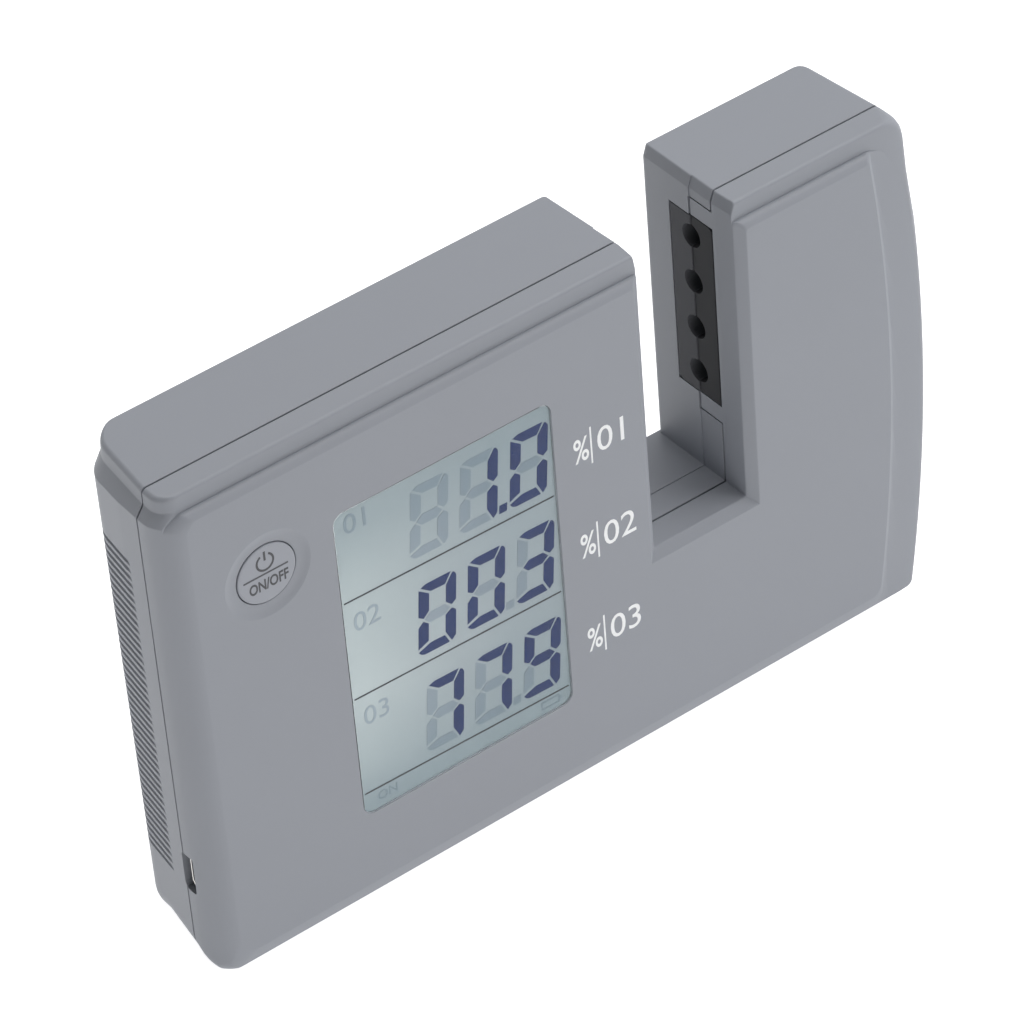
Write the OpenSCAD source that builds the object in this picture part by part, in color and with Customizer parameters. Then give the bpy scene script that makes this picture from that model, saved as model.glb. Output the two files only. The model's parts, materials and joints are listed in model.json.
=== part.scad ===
// Hand-held transmittance meter with a measuring slot, a display and one push button.
// Millimetres. X runs to the right, Y to the rear and Z up, with the origin under the middle of the case.

/* [Case] */
// Overall width of the case
body_w = 146.7; // [133:0.1:160]
// Overall height of the case
body_h = 95; // [86:0.5:104]
// Overall thickness of the case
body_t = 23.5; // [21.5:0.5:26]
// Thickness of the moulded walls
wall = 2; // [1.6:0.1:2.2]
// Depth of the parting seam behind the front face
seam_depth = 6.3; // [6:0.1:6.6]
// Width of the shadow gap at the seam
seam_gap = 0.3; // [0.1:0.1:0.5]
// Radius of the upright rear left edge
rear_edge_r = 7.5; // [4:0.5:8]
// Radius of the upright front left edge
front_edge_r = 5; // [3:0.5:5.5]
// Radius of the lower left corner, seen from the front
lower_corner_r = 6; // [3.5:0.5:8]
// Radius of the long rear edges at the top and bottom
long_edge_r = 1.2; // [0.6:0.1:1.5]
// Lean of the left side towards the rear, in degrees
side_lean = 4; // [0.5:0.5:5]
// Bulge of the right side
side_bulge = 3.7; // [2.5:0.1:5]
// Lean of the right side behind the seam, in degrees
right_lean = 5; // [0.5:0.5:6]
// Radius of the upright rear right edge
right_edge_r = 2.4; // [1:0.1:4]

/* [Front face] */
// Set-back of the top band behind the front face
band_set_back = 1.6; // [0.6:0.1:1.6]
// Height of the top band
band_h = 3.4; // [2:0.1:5]
// Height of the slope under the top band
band_slope_h = 1.8; // [1:0.1:3]
// Set-in of the cap above the shoulders
shoulder_in = 1.9; // [0.5:0.1:2.5]
// Height of the cap above the shoulders
cap_h = 2.8; // [2:0.1:4]
// Height of the slope of the shoulders
shoulder_h = 2; // [1:0.1:3]
// Width of the sloped border along the right side
border_w = 9; // [6:0.1:11]
// Drop of the sloped border along the right side
border_drop = 1.6; // [0.5:0.1:1.6]
// Radius between the sloped border and the right side
border_r = 2.2; // [1:0.1:3]
// Height of the bevel along the bottom of the front face
foot_bevel_h = 2.8; // [1:0.1:4]
// Set-back of the bevel at the bottom
foot_bevel_in = 0.6; // [0.3:0.1:1.5]

/* [Measuring slot] */
// Width of the prong on the right of the slot
prong_w = 38.8; // [35:0.1:42.5]
// Width of the slot
slot_w = 18.2; // [14:0.1:20]
// Depth of the slot from the top of the case
slot_depth = 57.7; // [52:0.1:63]
// Thickness of the walls beside the slot
slot_wall = 2.2; // [1.8:0.1:2.4]
// Flare of the slot from the seam to its front edge
slot_flare = 0.3; // [0.1:0.1:0.8]
// Lean of the slot's left wall behind the seam, in degrees
slot_lean = 3; // [0.5:0.5:3]
// Depth of the bevel along the slot's front edge
slot_bevel_depth = 1.4; // [0.5:0.1:1.6]
// Width of the bevel along the slot's front edge
slot_bevel_w = 1.7; // [0.5:0.1:2]

/* [Display] */
// Distance from the left side to the window
window_x = 29.9; // [27.5:0.1:32.5]
// Height of the window's lower edge
window_z = 17.2; // [15.5:0.1:19]
// Distance from the window to the slot
window_slot_gap = 18.9; // [17.5:0.1:24]
// Distance from the window to the top of the case
window_top_gap = 17.3; // [16.4:0.1:24]
// Corner radius of the window
window_r = 2; // [1:0.1:4]
// Set-back of the window behind the front face
window_recess = 0.4; // [0.2:0.1:0.5]
// Thickness of the window
window_t = 0.8; // [0.5:0.1:1]
// Thickness of the display's rear glass
lcd_t = 1; // [0.8:0.1:1.2]
// Thickness of the light guide
backlight_t = 3.4; // [3.2:0.1:3.6]
// Height of each contact strip
zebra_h = 2.4; // [1.5:0.1:3]

/* [Button] */
// Distance from the left side to the button's axis
button_x = 17; // [15.5:0.1:18.5]
// Distance from the button's axis to the top of the case
button_top = 20.9; // [20:0.1:30]
// Diameter of the button
button_d = 10.7; // [8:0.1:11]
// Gap around the button
button_gap = 0.2; // [0.1:0.05:0.4]
// Set-back of the button's face behind the front face
button_set_back = 0.3; // [0.1:0.1:0.6]
// Diameter of the dish around the button
dish_d = 15.7; // [14:0.1:17]
// Depth of the dish at its centre
dish_depth = 1; // [0.5:0.1:1.1]
// Travel of the button
button_travel = 0.3; // [0.2:0.05:0.35]

/* [Optics] */
// Depth of the light path behind the front face
optics_depth = 11.5; // [11.2:0.1:12]
// Height of the strips above the slot's floor
strip_gap = 15.4; // [12:0.1:16]
// Width of the strips
strip_w = 10.2; // [9:0.1:10.4]
// Distance from the strips to the top of the case
strip_top_gap = 7.3; // [7:0.1:9]
// Diameter of the apertures
aperture_d = 5; // [3:0.1:5.6]
// Distance from a strip's end to its first aperture
aperture_end = 1.5; // [1:0.1:3]
// Number of apertures in a strip
aperture_count = 4; // [2:1:4]
// Height of the case tabs that hold the strips
tab_h = 3.2; // [2:0.1:3.4]

/* [Boards] */
// Thickness of the main board
board_t = 1.6; // [1.2:0.1:2]
// Height of the main board's lower edge
board_z = 13; // [12.5:0.1:14]
// Thickness of the emitter and receiver boards
optics_board_t = 1.6; // [1:0.1:1.8]

/* [Inlet] */
// Height of the inlet's middle
usb_z = 19.6; // [18:0.1:20]
// Width of the inlet
usb_w = 7; // [6:0.1:7.5]
// Thickness of the inlet
usb_t = 2.35; // [2:0.05:2.5]
// Set-in of the inlet behind the left side
usb_set_in = 0.8; // [0.3:0.1:1]

/* [Battery] */
// Distance from the left side to the cell
cell_left = 20; // [18:0.5:30]
// Height of the cell
cell_h = 34; // [24:1:36]
// Thickness of the cell
cell_t = 6; // [4:0.5:6.5]

/* [Grip] */
// Spacing of the grip's grooves
grip_pitch = 1.5; // [1.4:0.05:1.6]
// Height of one groove
groove_h = 0.7; // [0.4:0.05:1]
// Depth of the grooves
groove_depth = 0.45; // [0.2:0.05:0.6]
// Number of grooves
groove_count = 42; // [10:1:44]
// Height of the lowest groove
grip_z = 17.4; // [15:0.1:20]
// Depth of the grip's front end behind the front face
grip_start = 10.5; // [8:0.1:13]

/* [Screws] */
// Diameter of the case screws
case_screw_d = 2.5; // [2:0.1:2.8]
// Depth of the case screws' recesses
case_screw_recess = 5.5; // [4:0.1:6]
// Depth at which the front bosses meet the rear posts
boss_meet = 12; // [11:0.1:13]
// Diameter of the board screws
board_screw_d = 1.9; // [1.6:0.1:2]

/* [Hidden] */
$fn = 64;

// Small gap between pieces that lie beside each other
clearance = 0.15;
// Radial gap of a sliding fit or of a screw in its hole
fit_gap = 0.05;
// How far a cutter reaches past the face that it cuts
past = 1;
// Smallest radius of an inner edge
inner_r = 0.2;

// Front and rear faces, and the seam's two edges
front_y = -body_t / 2;
rear_y = body_t / 2;
seam_front = seam_depth - seam_gap / 2;
seam_rear = seam_depth + seam_gap / 2;
cavity_rear = body_t - wall;
slot_right = body_w - prong_w;
slot_left = slot_right - slot_w;
slot_floor = body_h - slot_depth;
side_r = (pow(body_h / 2, 2) + pow(side_bulge, 2)) / (2 * side_bulge);

// Display stack, from the front panel back to the main board
window_w = slot_left - window_slot_gap - window_x;
window_h = body_h - window_top_gap - window_z;
window_edge = 0.1;
lcd_over = 0.75;
frame_over = 2.3;
window_back = window_recess + window_t;
lcd_back = wall + lcd_t;
board_front = lcd_back + backlight_t;
board_back = board_front + board_t;

// Button and switch, along the same axis
button_z = body_h - button_top;
button_flange_over = 1.15;
button_flange_d = button_d + 2 * button_flange_over;
button_flange_t = 0.8;
button_back = wall + button_flange_t;
button_stem_d = 4;
switch_w = 6;
switch_h = 2.4;
switch_lid_t = 0.6;
switch_floor_t = 0.3;
switch_chamber_d = 5;
plunger_d = 3.5;
plunger_spare = 0.1;
plunger_out = button_travel + plunger_spare;
plunger_flange_d = 4.5;
plunger_flange_t = 0.4;
plunger_nub_d = 1.6;
plunger_nub_h = 0.3;
dome_d = 4.6;
dome_t = 0.1;
dome_gap = 0.02;
switch_front = board_front - switch_h;
chamber_front = switch_front + switch_lid_t;
chamber_rear = board_front - switch_floor_t;
plunger_front = switch_front - plunger_out;
plunger_nub_end = chamber_front + plunger_flange_t + plunger_nub_h;
dome_front = plunger_nub_end + dome_gap;
dome_h = chamber_rear - dome_front;
dome_r = (pow(dome_d / 2, 2) + pow(dome_h, 2)) / (2 * dome_h);

// Optics stack, measured outwards from the slot's wall
flange_over = 1.5;
flange_t = 1.2;
tray_depth = 2;
tray_rim = 1;
lens_over = 0.6;
lens_d = aperture_d + 2 * lens_over;
lens_t = 0.9;
led_w = 3.5;
led_h = 1;
led_dome_d = 2.6;
led_dome_h = 0.5;
board_tail = 9;
connector_w = 6;
connector_t = 4.4;
connector_h = 5;
strip_bevel = 0.7;
rib_t = 1.5;
rib_inset = 2;
flange_back = slot_wall + flange_t;
tray_back = flange_back + tray_depth;
optics_board_back = tray_back + optics_board_t;
strip_z = slot_floor + strip_gap;
strip_h = slot_depth - strip_gap - strip_top_gap;
aperture_pitch = (strip_h - 2 * aperture_end - aperture_d) / (aperture_count - 1);
strip_mid_z = strip_z + strip_h / 2;
optics_board_z = strip_z - flange_over - board_tail;
connector_in = 0.5;
connector_z = optics_board_z + connector_in;
cable_out = optics_board_back + connector_t / 2;

// Screws, their bosses and their places as [distance from the left side, height]
boss_d = 6.4;
post_d = 8;
case_head_d = 4.8;
case_head_t = 1.8;
case_screw_bite = 4;
case_screw_seat = body_t - case_screw_recess;
case_screw_end = boss_meet - case_screw_bite;
board_boss_d = 5;
board_head_d = 3.8;
board_head_t = 1.4;
board_screw_bite = 3.4;
board_screw_end = board_front - board_screw_bite;
screw_spare = 0.4;
drive_w = 2.6;
drive_slot = 0.6;
left_screw_x = 12;
slot_screw_in = 14;
prong_screw_in = 14.5;
low_screw_z = 8;
high_screw_in = 7.5;
high_screw_z = body_h - high_screw_in;
case_screw_places = [
  for (x = [left_screw_x, slot_left - slot_screw_in, body_w - prong_screw_in],
       z = [low_screw_z, high_screw_z])
    [x, z]
];
boss_board_gap = 2.3;
board_boss_gap = 0.5;
board_screw_in = 3.5;
board_top = high_screw_z - boss_d / 2 - boss_board_gap;
board_screw_left = button_x - button_flange_d / 2 - board_boss_d / 2 - board_boss_gap;
board_screw_right = window_x + window_w + frame_over + board_boss_d / 2 + clearance;
board_screw_low = board_z + board_screw_in;
board_screw_top = board_top - board_screw_in;
board_screw_places = [
  [board_screw_left, usb_z + usb_w / 2 + board_boss_d], [board_screw_left, board_screw_top],
  [board_screw_right, board_screw_low], [board_screw_right, board_screw_top]
];

// Main board, with its packages and wiring on its rear
board_side_gap = 0.6;
board_left = wall + board_side_gap;
board_right = slot_left - optics_board_back - board_side_gap;
board_mid_x = (board_left + board_right) / 2;
board_mid_z = (board_z + board_top) / 2;
chip_spread = 13;
chip_rise = 4.5;
controller_w = 10;
controller_t = 1.4;
amplifier_w = 6;
amplifier_h = 8;
amplifier_t = 1.2;
charger_w = 5;
charger_t = 1.1;
regulator_w = 4;
header_gap = 0.6;
header_t = 5.5;
link_header_w = 7;
link_header_h = 8;
link_z = board_screw_low + board_head_d / 2 + header_gap + link_header_h / 2;
receiver_header_w = 5.2;
receiver_header_h = 4;
receiver_header_z = link_z + link_header_h / 2 + header_gap;
cable_d = 2.4;
cable_bend_r = 5;

// Battery on the inside of the rear shell
pad_t = 0.5;
pad_margin = 3;
cell_slot_gap = 19.2;
cell_w = slot_left - cell_slot_gap - cell_left;
cell_x = cell_left + cell_w / 2;
cell_z = 45;
cell_back = cavity_rear - pad_t;
cell_front = cell_back - cell_t;
cell_mid = cell_back - cell_t / 2;
cell_top = cell_z + cell_h / 2;
lead_d = 1.2;
lead_spacing = 2;
lead_out = 1;
lead_bend_r = 2.4;
lead_z = cell_top + lead_out + lead_bend_r;
battery_header_w = 8;
battery_header_h = 6.2;
battery_header_t = 4;
header_wall = 0.8;
header_floor = 1.2;
plug_t = 3.4;
header_pin_d = 0.6;
header_pin_h = 2;
plug_front = board_back + header_floor;
battery_header_end = board_back + battery_header_t;
plug_back = plug_front + plug_t;

// Inlet on the front of the main board
usb_len = 5.5;
usb_sheet = 0.25;
usb_tongue_len = 3.4;
usb_tongue_w = 3.8;
usb_tongue_t = 0.6;
usb_front = board_front - usb_t;

// X of a place at a distance from the left side
function across(x) = x - body_w / 2;

// Y of a place at a depth behind the front face
function depth(f) = f + front_y;

// X of the left side at a height y, with the lean behind the seam
function left_side(inset, y) = across(inset) + max(0, y - depth(seam_depth)) * tan(side_lean);

// Radius of the right side's disc at a height y, with the lean behind the seam
function right_rim(inset, y) = side_r - inset - max(0, y - depth(seam_depth)) * tan(right_lean);

// Block between two distances from the left, two depths and two heights
module block(x0, x1, f0, f1, z0, z1) {
  translate([across(x0), depth(f0), z0]) cube([x1 - x0, f1 - f0, z1 - z0]);
}

// Round bar along Y between two depths
module bar(place, f0, f1, d) {
  translate([across(place[0]), depth(f1), place[1]]) rotate([90, 0, 0]) cylinder(d = d, h = f1 - f0);
}

// Block with rounded corners in the front view
module rounded_block(x0, x1, f0, f1, z0, z1, r) {
  block(x0 + r, x1 - r, f0, f1, z0, z1);
  block(x0, x1, f0, f1, z0 + r, z1 - r);
  for (x = [x0 + r, x1 - r], z = [z0 + r, z1 - r]) bar([x, z], f0, f1, 2 * r);
}

// The window's outline grown by a margin
module window_block(margin, f0, f1) {
  rounded_block(window_x - margin, window_x + window_w + margin, f0, f1,
                window_z - margin, window_z + window_h + margin, window_r + margin);
}

// Children drawn outwards from the slot's wall: right is the prong, otherwise the left block
module on_slot_side(right) {
  if (right) translate([across(slot_right), 0, 0]) children();
  else translate([across(slot_left), 0, 0]) mirror([1, 0, 0]) children();
}

// Block beside the slot: outwards from its wall, across the light path and up
module side_block(out0, out1, half_w, z0, z1) {
  translate([out0, depth(optics_depth) - half_w, z0]) cube([out1 - out0, 2 * half_w, z1 - z0]);
}

// Round bars outwards from the slot's wall, one on each aperture's axis
module aperture_bars(out0, out1, d) {
  for (i = [0 : aperture_count - 1])
    translate([out0, depth(optics_depth), strip_mid_z + (i - (aperture_count - 1) / 2) * aperture_pitch])
      rotate([0, 90, 0]) cylinder(d = d, h = out1 - out0);
}

// Front view of the case, drawn in by an inset
module case_front_view(inset) {
  left = across(inset);
  right = across(body_w);
  cap_left = across(inset + shoulder_in);
  cap_right = across(body_w - side_bulge - inset - shoulder_in);
  r = lower_corner_r - inset;
  cap_z = body_h - cap_h - inset / 2;
  right_drop = (right - cap_right) * shoulder_h / shoulder_in;
  polygon([
    [left + r, inset], [right, inset], [right, cap_z - right_drop], [cap_right, cap_z],
    [cap_right, body_h - inset], [cap_left, body_h - inset], [cap_left, cap_z],
    [left, cap_z - shoulder_h], [left, inset + r]
  ]);
  translate([left + r, inset + r]) circle(r);
}

// Top view of the case, drawn in by an inset
module case_top_view(inset) {
  front = front_y + inset;
  rear = rear_y - inset;
  right = across(body_w);
  front_r = front_edge_r - inset;
  rear_r = rear_edge_r - inset;
  front_centre = [across(inset) + front_r, front + front_r];
  rear_centre = [left_side(inset, rear - rear_r) + rear_r / cos(side_lean), rear - rear_r];
  polygon([
    [front_centre[0], front], [right, front], [right, rear], [rear_centre[0], rear],
    rear_centre + rear_r * [-cos(side_lean), sin(side_lean)],
    [across(inset), depth(seam_depth)], [across(inset), front_centre[1]]
  ]);
  translate(front_centre) circle(front_r);
  translate(rear_centre) circle(rear_r);
}

// Side view of the case, drawn in by an inset
module case_side_view(inset) {
  front = front_y + inset;
  rear = rear_y - inset;
  top = body_h - inset;
  r = max(long_edge_r - inset, 0);
  band_z = body_h - band_h - inset / 2;
  polygon([
    [front + foot_bevel_in, inset], [rear - r, inset], [rear, inset + r], [rear, top - r], [rear - r, top],
    [front + band_set_back, top], [front + band_set_back, band_z], [front, band_z - band_slope_h],
    [front, inset + foot_bevel_h]
  ]);
  if (r > 0) for (z = [inset + r, top - r]) translate([rear - r, z]) circle(r);
}

// Round disc whose rim is the bulging right side, with its sloped border in front
module side_disc(inset) {
  front = front_y + inset;
  rear = rear_y - inset;
  rim = right_rim(inset, front);
  r = max(right_edge_r - inset, inner_r);
  rear_centre = [right_rim(inset, rear - r) - r / cos(right_lean), rear - r];
  border_end = front + border_drop + border_r;
  translate([across(body_w) - side_r, 0, body_h / 2])
    rotate([-90, 0, 0]) rotate([0, 0, 180]) rotate_extrude($fn = 256) {
      polygon([
        [0, front], [rim - border_w, front], [rim - border_r, front + border_drop], [rim, border_end],
        [rim, depth(seam_depth)], rear_centre + r * [cos(right_lean), sin(right_lean)],
        [rear_centre[0], rear], [0, rear]
      ]);
      translate([rim - border_r, border_end]) circle(border_r);
      translate(rear_centre) circle(r);
    }
}

// Closed body of the case without its slot, drawn in by an inset
module case_body(inset) {
  intersection() {
    rotate([90, 0, 0]) linear_extrude(height = body_t, center = true) case_front_view(inset);
    linear_extrude(height = body_h) case_top_view(inset);
    rotate([90, 0, 90]) linear_extrude(height = body_w, center = true) case_side_view(inset);
    side_disc(inset);
  }
}

// The slot, flared in front of the seam, bevelled along its front edge and leaning on its left
module slot_cut() {
  flare_y = depth(seam_depth - past);
  edge_y = depth(slot_bevel_depth);
  lean_y = depth(seam_depth);
  rear_end = rear_y + past;
  left = across(slot_left);
  rear_left = left - (rear_end - lean_y) * tan(slot_lean);
  right = across(slot_right);
  bevel = slot_flare + slot_bevel_w;
  intersection() {
    linear_extrude(height = body_h + past) polygon([
      [rear_left, rear_end], [left, lean_y], [left, flare_y], [left - slot_flare, edge_y],
      [left - bevel, front_y], [left - bevel, front_y - past], [right + bevel, front_y - past],
      [right + bevel, front_y], [right + slot_flare, edge_y], [right, flare_y], [right, rear_end]
    ]);
    rotate([90, 0, 90]) linear_extrude(height = body_w, center = true) polygon([
      [rear_end, slot_floor], [flare_y, slot_floor], [edge_y, slot_floor - slot_flare],
      [front_y, slot_floor - bevel], [front_y - past, slot_floor - bevel],
      [front_y - past, body_h + past], [rear_end, body_h + past]
    ]);
  }
}

// Hollow case with its slot, before it is parted
module case_hollow() {
  difference() {
    case_body(0);
    difference() {
      case_body(wall);
      block(slot_left - slot_wall, slot_right + slot_wall, -past, body_t + past,
            slot_floor - slot_wall, body_h + past);
    }
    slot_cut();
  }
}

// Pockets for both aperture strips
module strip_pockets() {
  for (right = [true, false]) on_slot_side(right)
    side_block(-past, slot_wall, strip_w / 2 + clearance,
               strip_z - clearance, strip_z + strip_h + clearance);
}

// Tabs above and below each strip, grown by a margin, that reach back from the front shell
module strip_tabs(margin) {
  tab_front = seam_front - past / 2;
  for (right = [true, false], z = [strip_z - clearance - tab_h, strip_z + strip_h + clearance])
    on_slot_side(right) translate([0, depth(tab_front), z - margin])
      cube([slot_wall, optics_depth + margin - tab_front, tab_h + 2 * margin]);
}

// Opening for the inlet in the left side
module usb_opening() {
  block(-past, wall + past / 2, usb_front - clearance, board_front + clearance / 3,
        usb_z - usb_w / 2 - clearance, usb_z + usb_w / 2 + clearance);
}

module front_shell() {
  dish_r = (pow(dish_d / 2, 2) + pow(dish_depth, 2)) / (2 * dish_depth);
  color([0.58, 0.59, 0.62]) difference() {
    union() {
      intersection() {
        case_hollow();
        block(-past, body_w + past, -past, seam_front, -past, body_h + past);
      }
      for (place = case_screw_places) bar(place, wall / 2, boss_meet, boss_d);
      for (place = board_screw_places) bar(place, wall / 2, board_front, board_boss_d);
      strip_tabs(0);
    }
    for (place = case_screw_places)
      bar(place, case_screw_end - screw_spare, boss_meet + past, case_screw_d + 2 * fit_gap);
    for (place = board_screw_places)
      bar(place, board_screw_end - screw_spare, board_front + past, board_screw_d + 2 * fit_gap);
    window_block(0, -past, wall + past);
    bar([button_x, button_z], -past, wall + past, button_d + 2 * button_gap);
    translate([across(button_x), front_y + dish_depth - dish_r, button_z]) sphere(dish_r);
    usb_opening();
    strip_pockets();
  }
}

module rear_shell() {
  color([0.57, 0.58, 0.61]) difference() {
    union() {
      intersection() {
        case_hollow();
        block(-past, body_w + past, seam_rear, body_t + past, -past, body_h + past);
      }
      for (place = case_screw_places) bar(place, boss_meet, body_t - wall / 2, post_d);
      board_ribs();
    }
    for (place = case_screw_places) {
      bar(place, boss_meet - past, body_t + past, case_screw_d + 4 * fit_gap);
      bar(place, case_screw_seat, body_t + past, case_head_d + 8 * fit_gap);
    }
    strip_pockets();
    strip_tabs(seam_gap);
    usb_opening();
    for (i = [0 : groove_count - 1]) translate([0, 0, grip_z + i * grip_pitch]) grip_groove();
  }
}

// Ribs of the rear shell behind the emitter and receiver boards
module board_ribs() {
  rib_front = optics_depth + rib_inset;
  for (right = [true, false]) on_slot_side(right)
    translate([optics_board_back, depth(rib_front), strip_z + rib_inset])
      cube([rib_t, cavity_rear + wall / 2 - rib_front, strip_h - 2 * rib_inset]);
}

// One groove of the grip, which follows the left side round to the rear
module grip_groove() {
  wrap = rear_edge_r / 2;
  linear_extrude(height = groove_h) difference() {
    translate([across(-past), depth(grip_start)]) square([past + wrap, body_t - grip_start + past]);
    case_top_view(groove_depth);
  }
}

module display_window() {
  color([0.72, 0.76, 0.76]) window_block(-window_edge, window_recess, window_back);
}

// Block behind the window, grown by a margin and shortened at both ends
module display_block(margin, short, f0, f1) {
  block(window_x - margin, window_x + window_w + margin, f0, f1,
        window_z - margin + short, window_z + window_h + margin - short);
}

// Front glass in the panel's opening, and the larger rear glass that the panel holds in
module lcd_glass() {
  color([0.75, 0.8, 0.78]) {
    window_block(-window_edge, window_back, wall);
    display_block(lcd_over, 0, wall, lcd_back);
  }
}

module lcd_frame() {
  color([0.9, 0.9, 0.88]) difference() {
    display_block(frame_over, 0, wall, board_front);
    display_block(lcd_over + clearance, 0, wall - past, board_front + past);
  }
}

module backlight() {
  color([0.95, 0.96, 0.94]) display_block(lcd_over, zebra_h + clearance, lcd_back, board_front);
}

module zebra_strips() {
  color([0.45, 0.45, 0.47])
    for (z = [window_z - lcd_over, window_z + window_h + lcd_over - zebra_h])
      block(window_x, window_x + window_w, lcd_back, board_front, z, z + zebra_h);
}

module main_board() {
  color([0.1, 0.36, 0.2]) difference() {
    block(board_left, board_right, board_front, board_back, board_z, board_top);
    for (place = board_screw_places)
      bar(place, board_front - past, board_back + past, board_screw_d + 4 * fit_gap);
  }
}

// Square package on the rear of the main board: place, width, height and thickness
module chip(place, w, h, t) {
  block(place[0] - w / 2, place[0] + w / 2, board_back, board_back + t, place[1] - h / 2, place[1] + h / 2);
}

module board_chips() {
  color([0.13, 0.13, 0.14]) {
    chip([board_mid_x - chip_spread, board_mid_z + chip_rise], controller_w, controller_w, controller_t);
    chip([board_mid_x + chip_spread, board_mid_z + chip_rise], amplifier_w, amplifier_h, amplifier_t);
    chip([button_x, usb_z + usb_w + charger_w], charger_w, charger_w, charger_t);
    chip([button_x, usb_z], regulator_w, charger_w, charger_t);
  }
}

module button_cap() {
  place = [button_x, button_z];
  color([0.6, 0.61, 0.64]) {
    bar(place, button_set_back, wall, button_d);
    bar(place, wall, button_back, button_flange_d);
    bar(place, button_back, plunger_front, button_stem_d);
  }
}

module switch_body() {
  place = [button_x, button_z];
  half = switch_w / 2;
  color([0.16, 0.16, 0.17]) difference() {
    block(button_x - half, button_x + half, switch_front, board_front, button_z - half, button_z + half);
    bar(place, switch_front - past, chamber_rear, plunger_d + 2 * fit_gap);
    bar(place, chamber_front, chamber_rear, switch_chamber_d);
  }
}

module switch_plunger() {
  place = [button_x, button_z];
  color([0.75, 0.73, 0.68]) {
    bar(place, plunger_front, chamber_front, plunger_d);
    bar(place, chamber_front, chamber_front + plunger_flange_t, plunger_flange_d);
    bar(place, chamber_front + plunger_flange_t, plunger_nub_end, plunger_nub_d);
  }
}

// Snap dome that rests on the switch's floor and bulges towards the plunger
module switch_dome() {
  color([0.78, 0.78, 0.75]) intersection() {
    translate([across(button_x), depth(dome_front) + dome_r, button_z]) difference() {
      sphere(dome_r);
      sphere(dome_r - dome_t);
    }
    bar([button_x, button_z], dome_front - past, chamber_rear, switch_chamber_d - 2 * clearance);
  }
}

// Block on the inlet's axis: from the left side inwards, with half widths up and in depth
module usb_block(x0, x1, half_w, half_t) {
  middle = usb_front + usb_t / 2;
  block(x0, x1, middle - half_t, middle + half_t, usb_z - half_w, usb_z + half_w);
}

module usb_shell() {
  back = usb_set_in + usb_len;
  color([0.72, 0.72, 0.7]) difference() {
    usb_block(usb_set_in, back, usb_w / 2, usb_t / 2);
    usb_block(usb_set_in - past, back - 2 * usb_sheet, usb_w / 2 - usb_sheet, usb_t / 2 - usb_sheet);
  }
}

module usb_tongue() {
  back = usb_set_in + usb_len - 2 * usb_sheet;
  color([0.1, 0.1, 0.1]) usb_block(back - usb_tongue_len, back, usb_tongue_w / 2, usb_tongue_t / 2);
}

// Face of a strip with bevelled corners, and the tray that carries its board
module aperture_strip() {
  half = strip_w / 2;
  tray_half = half + flange_over;
  tray_z = strip_z - flange_over;
  tray_top = strip_z + strip_h + flange_over;
  cut = strip_bevel;
  difference() {
    union() {
      translate([0, depth(optics_depth), strip_mid_z]) rotate([90, 0, 90])
        linear_extrude(height = slot_wall) polygon([
          [cut - half, strip_h / -2], [half - cut, strip_h / -2], [half, cut - strip_h / 2],
          [half, strip_h / 2 - cut], [half - cut, strip_h / 2], [cut - half, strip_h / 2],
          [-half, strip_h / 2 - cut], [-half, cut - strip_h / 2]
        ]);
      side_block(slot_wall, tray_back, tray_half, tray_z, tray_top);
    }
    side_block(flange_back, tray_back + past, tray_half - tray_rim, tray_z + tray_rim, tray_top - tray_rim);
    aperture_bars(-past, flange_back + past / 2, aperture_d);
    aperture_bars(flange_back - lens_t, flange_back + past / 2, lens_d + 2 * fit_gap);
  }
}

module emitter_strip() {
  color([0.22, 0.22, 0.24]) on_slot_side(true) aperture_strip();
}

module receiver_strip() {
  color([0.22, 0.22, 0.24]) on_slot_side(false) aperture_strip();
}

module aperture_lenses() {
  aperture_bars(flange_back - lens_t, flange_back, lens_d);
}

module emitter_lenses() {
  color([0.8, 0.82, 0.84]) on_slot_side(true) aperture_lenses();
}

module receiver_filters() {
  color([0.35, 0.3, 0.5]) on_slot_side(false) aperture_lenses();
}

// Board that closes a strip's tray, with a tail for its connector
module optics_board() {
  half = strip_w / 2 + flange_over;
  side_block(tray_back, optics_board_back, half, optics_board_z, strip_z + strip_h + flange_over);
}

module emitter_board() {
  color([0.1, 0.36, 0.2]) on_slot_side(true) optics_board();
}

module receiver_board() {
  color([0.1, 0.36, 0.2]) on_slot_side(false) optics_board();
}

// Square packages on an optics board, one behind each aperture
module optics_packages() {
  for (i = [0 : aperture_count - 1])
    translate([0, 0, strip_mid_z + (i - (aperture_count - 1) / 2) * aperture_pitch])
      side_block(tray_back - led_h, tray_back, led_w / 2, led_w / -2, led_w / 2);
}

module emitter_leds() {
  color([0.92, 0.9, 0.8]) on_slot_side(true) {
    optics_packages();
    aperture_bars(tray_back - led_h - led_dome_h, tray_back - led_h, led_dome_d);
  }
}

module photodiodes() {
  color([0.15, 0.15, 0.18]) on_slot_side(false) optics_packages();
}

// Connector on the tail of an optics board
module optics_connector() {
  side_block(optics_board_back, optics_board_back + connector_t, connector_w / 2,
             connector_z, connector_z + connector_h);
}

module emitter_connector() {
  color([0.92, 0.91, 0.87]) on_slot_side(true) optics_connector();
}

module receiver_connector() {
  color([0.92, 0.91, 0.87]) on_slot_side(false) optics_connector();
}

module link_header() {
  color([0.92, 0.91, 0.87])
    block(board_right - link_header_w, board_right, board_back, board_back + header_t,
          link_z - link_header_h / 2, link_z + link_header_h / 2);
}

module receiver_header() {
  color([0.92, 0.91, 0.87])
    block(board_right - receiver_header_w, board_right, board_back, board_back + header_t,
          receiver_header_z, receiver_header_z + receiver_header_h);
}

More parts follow.
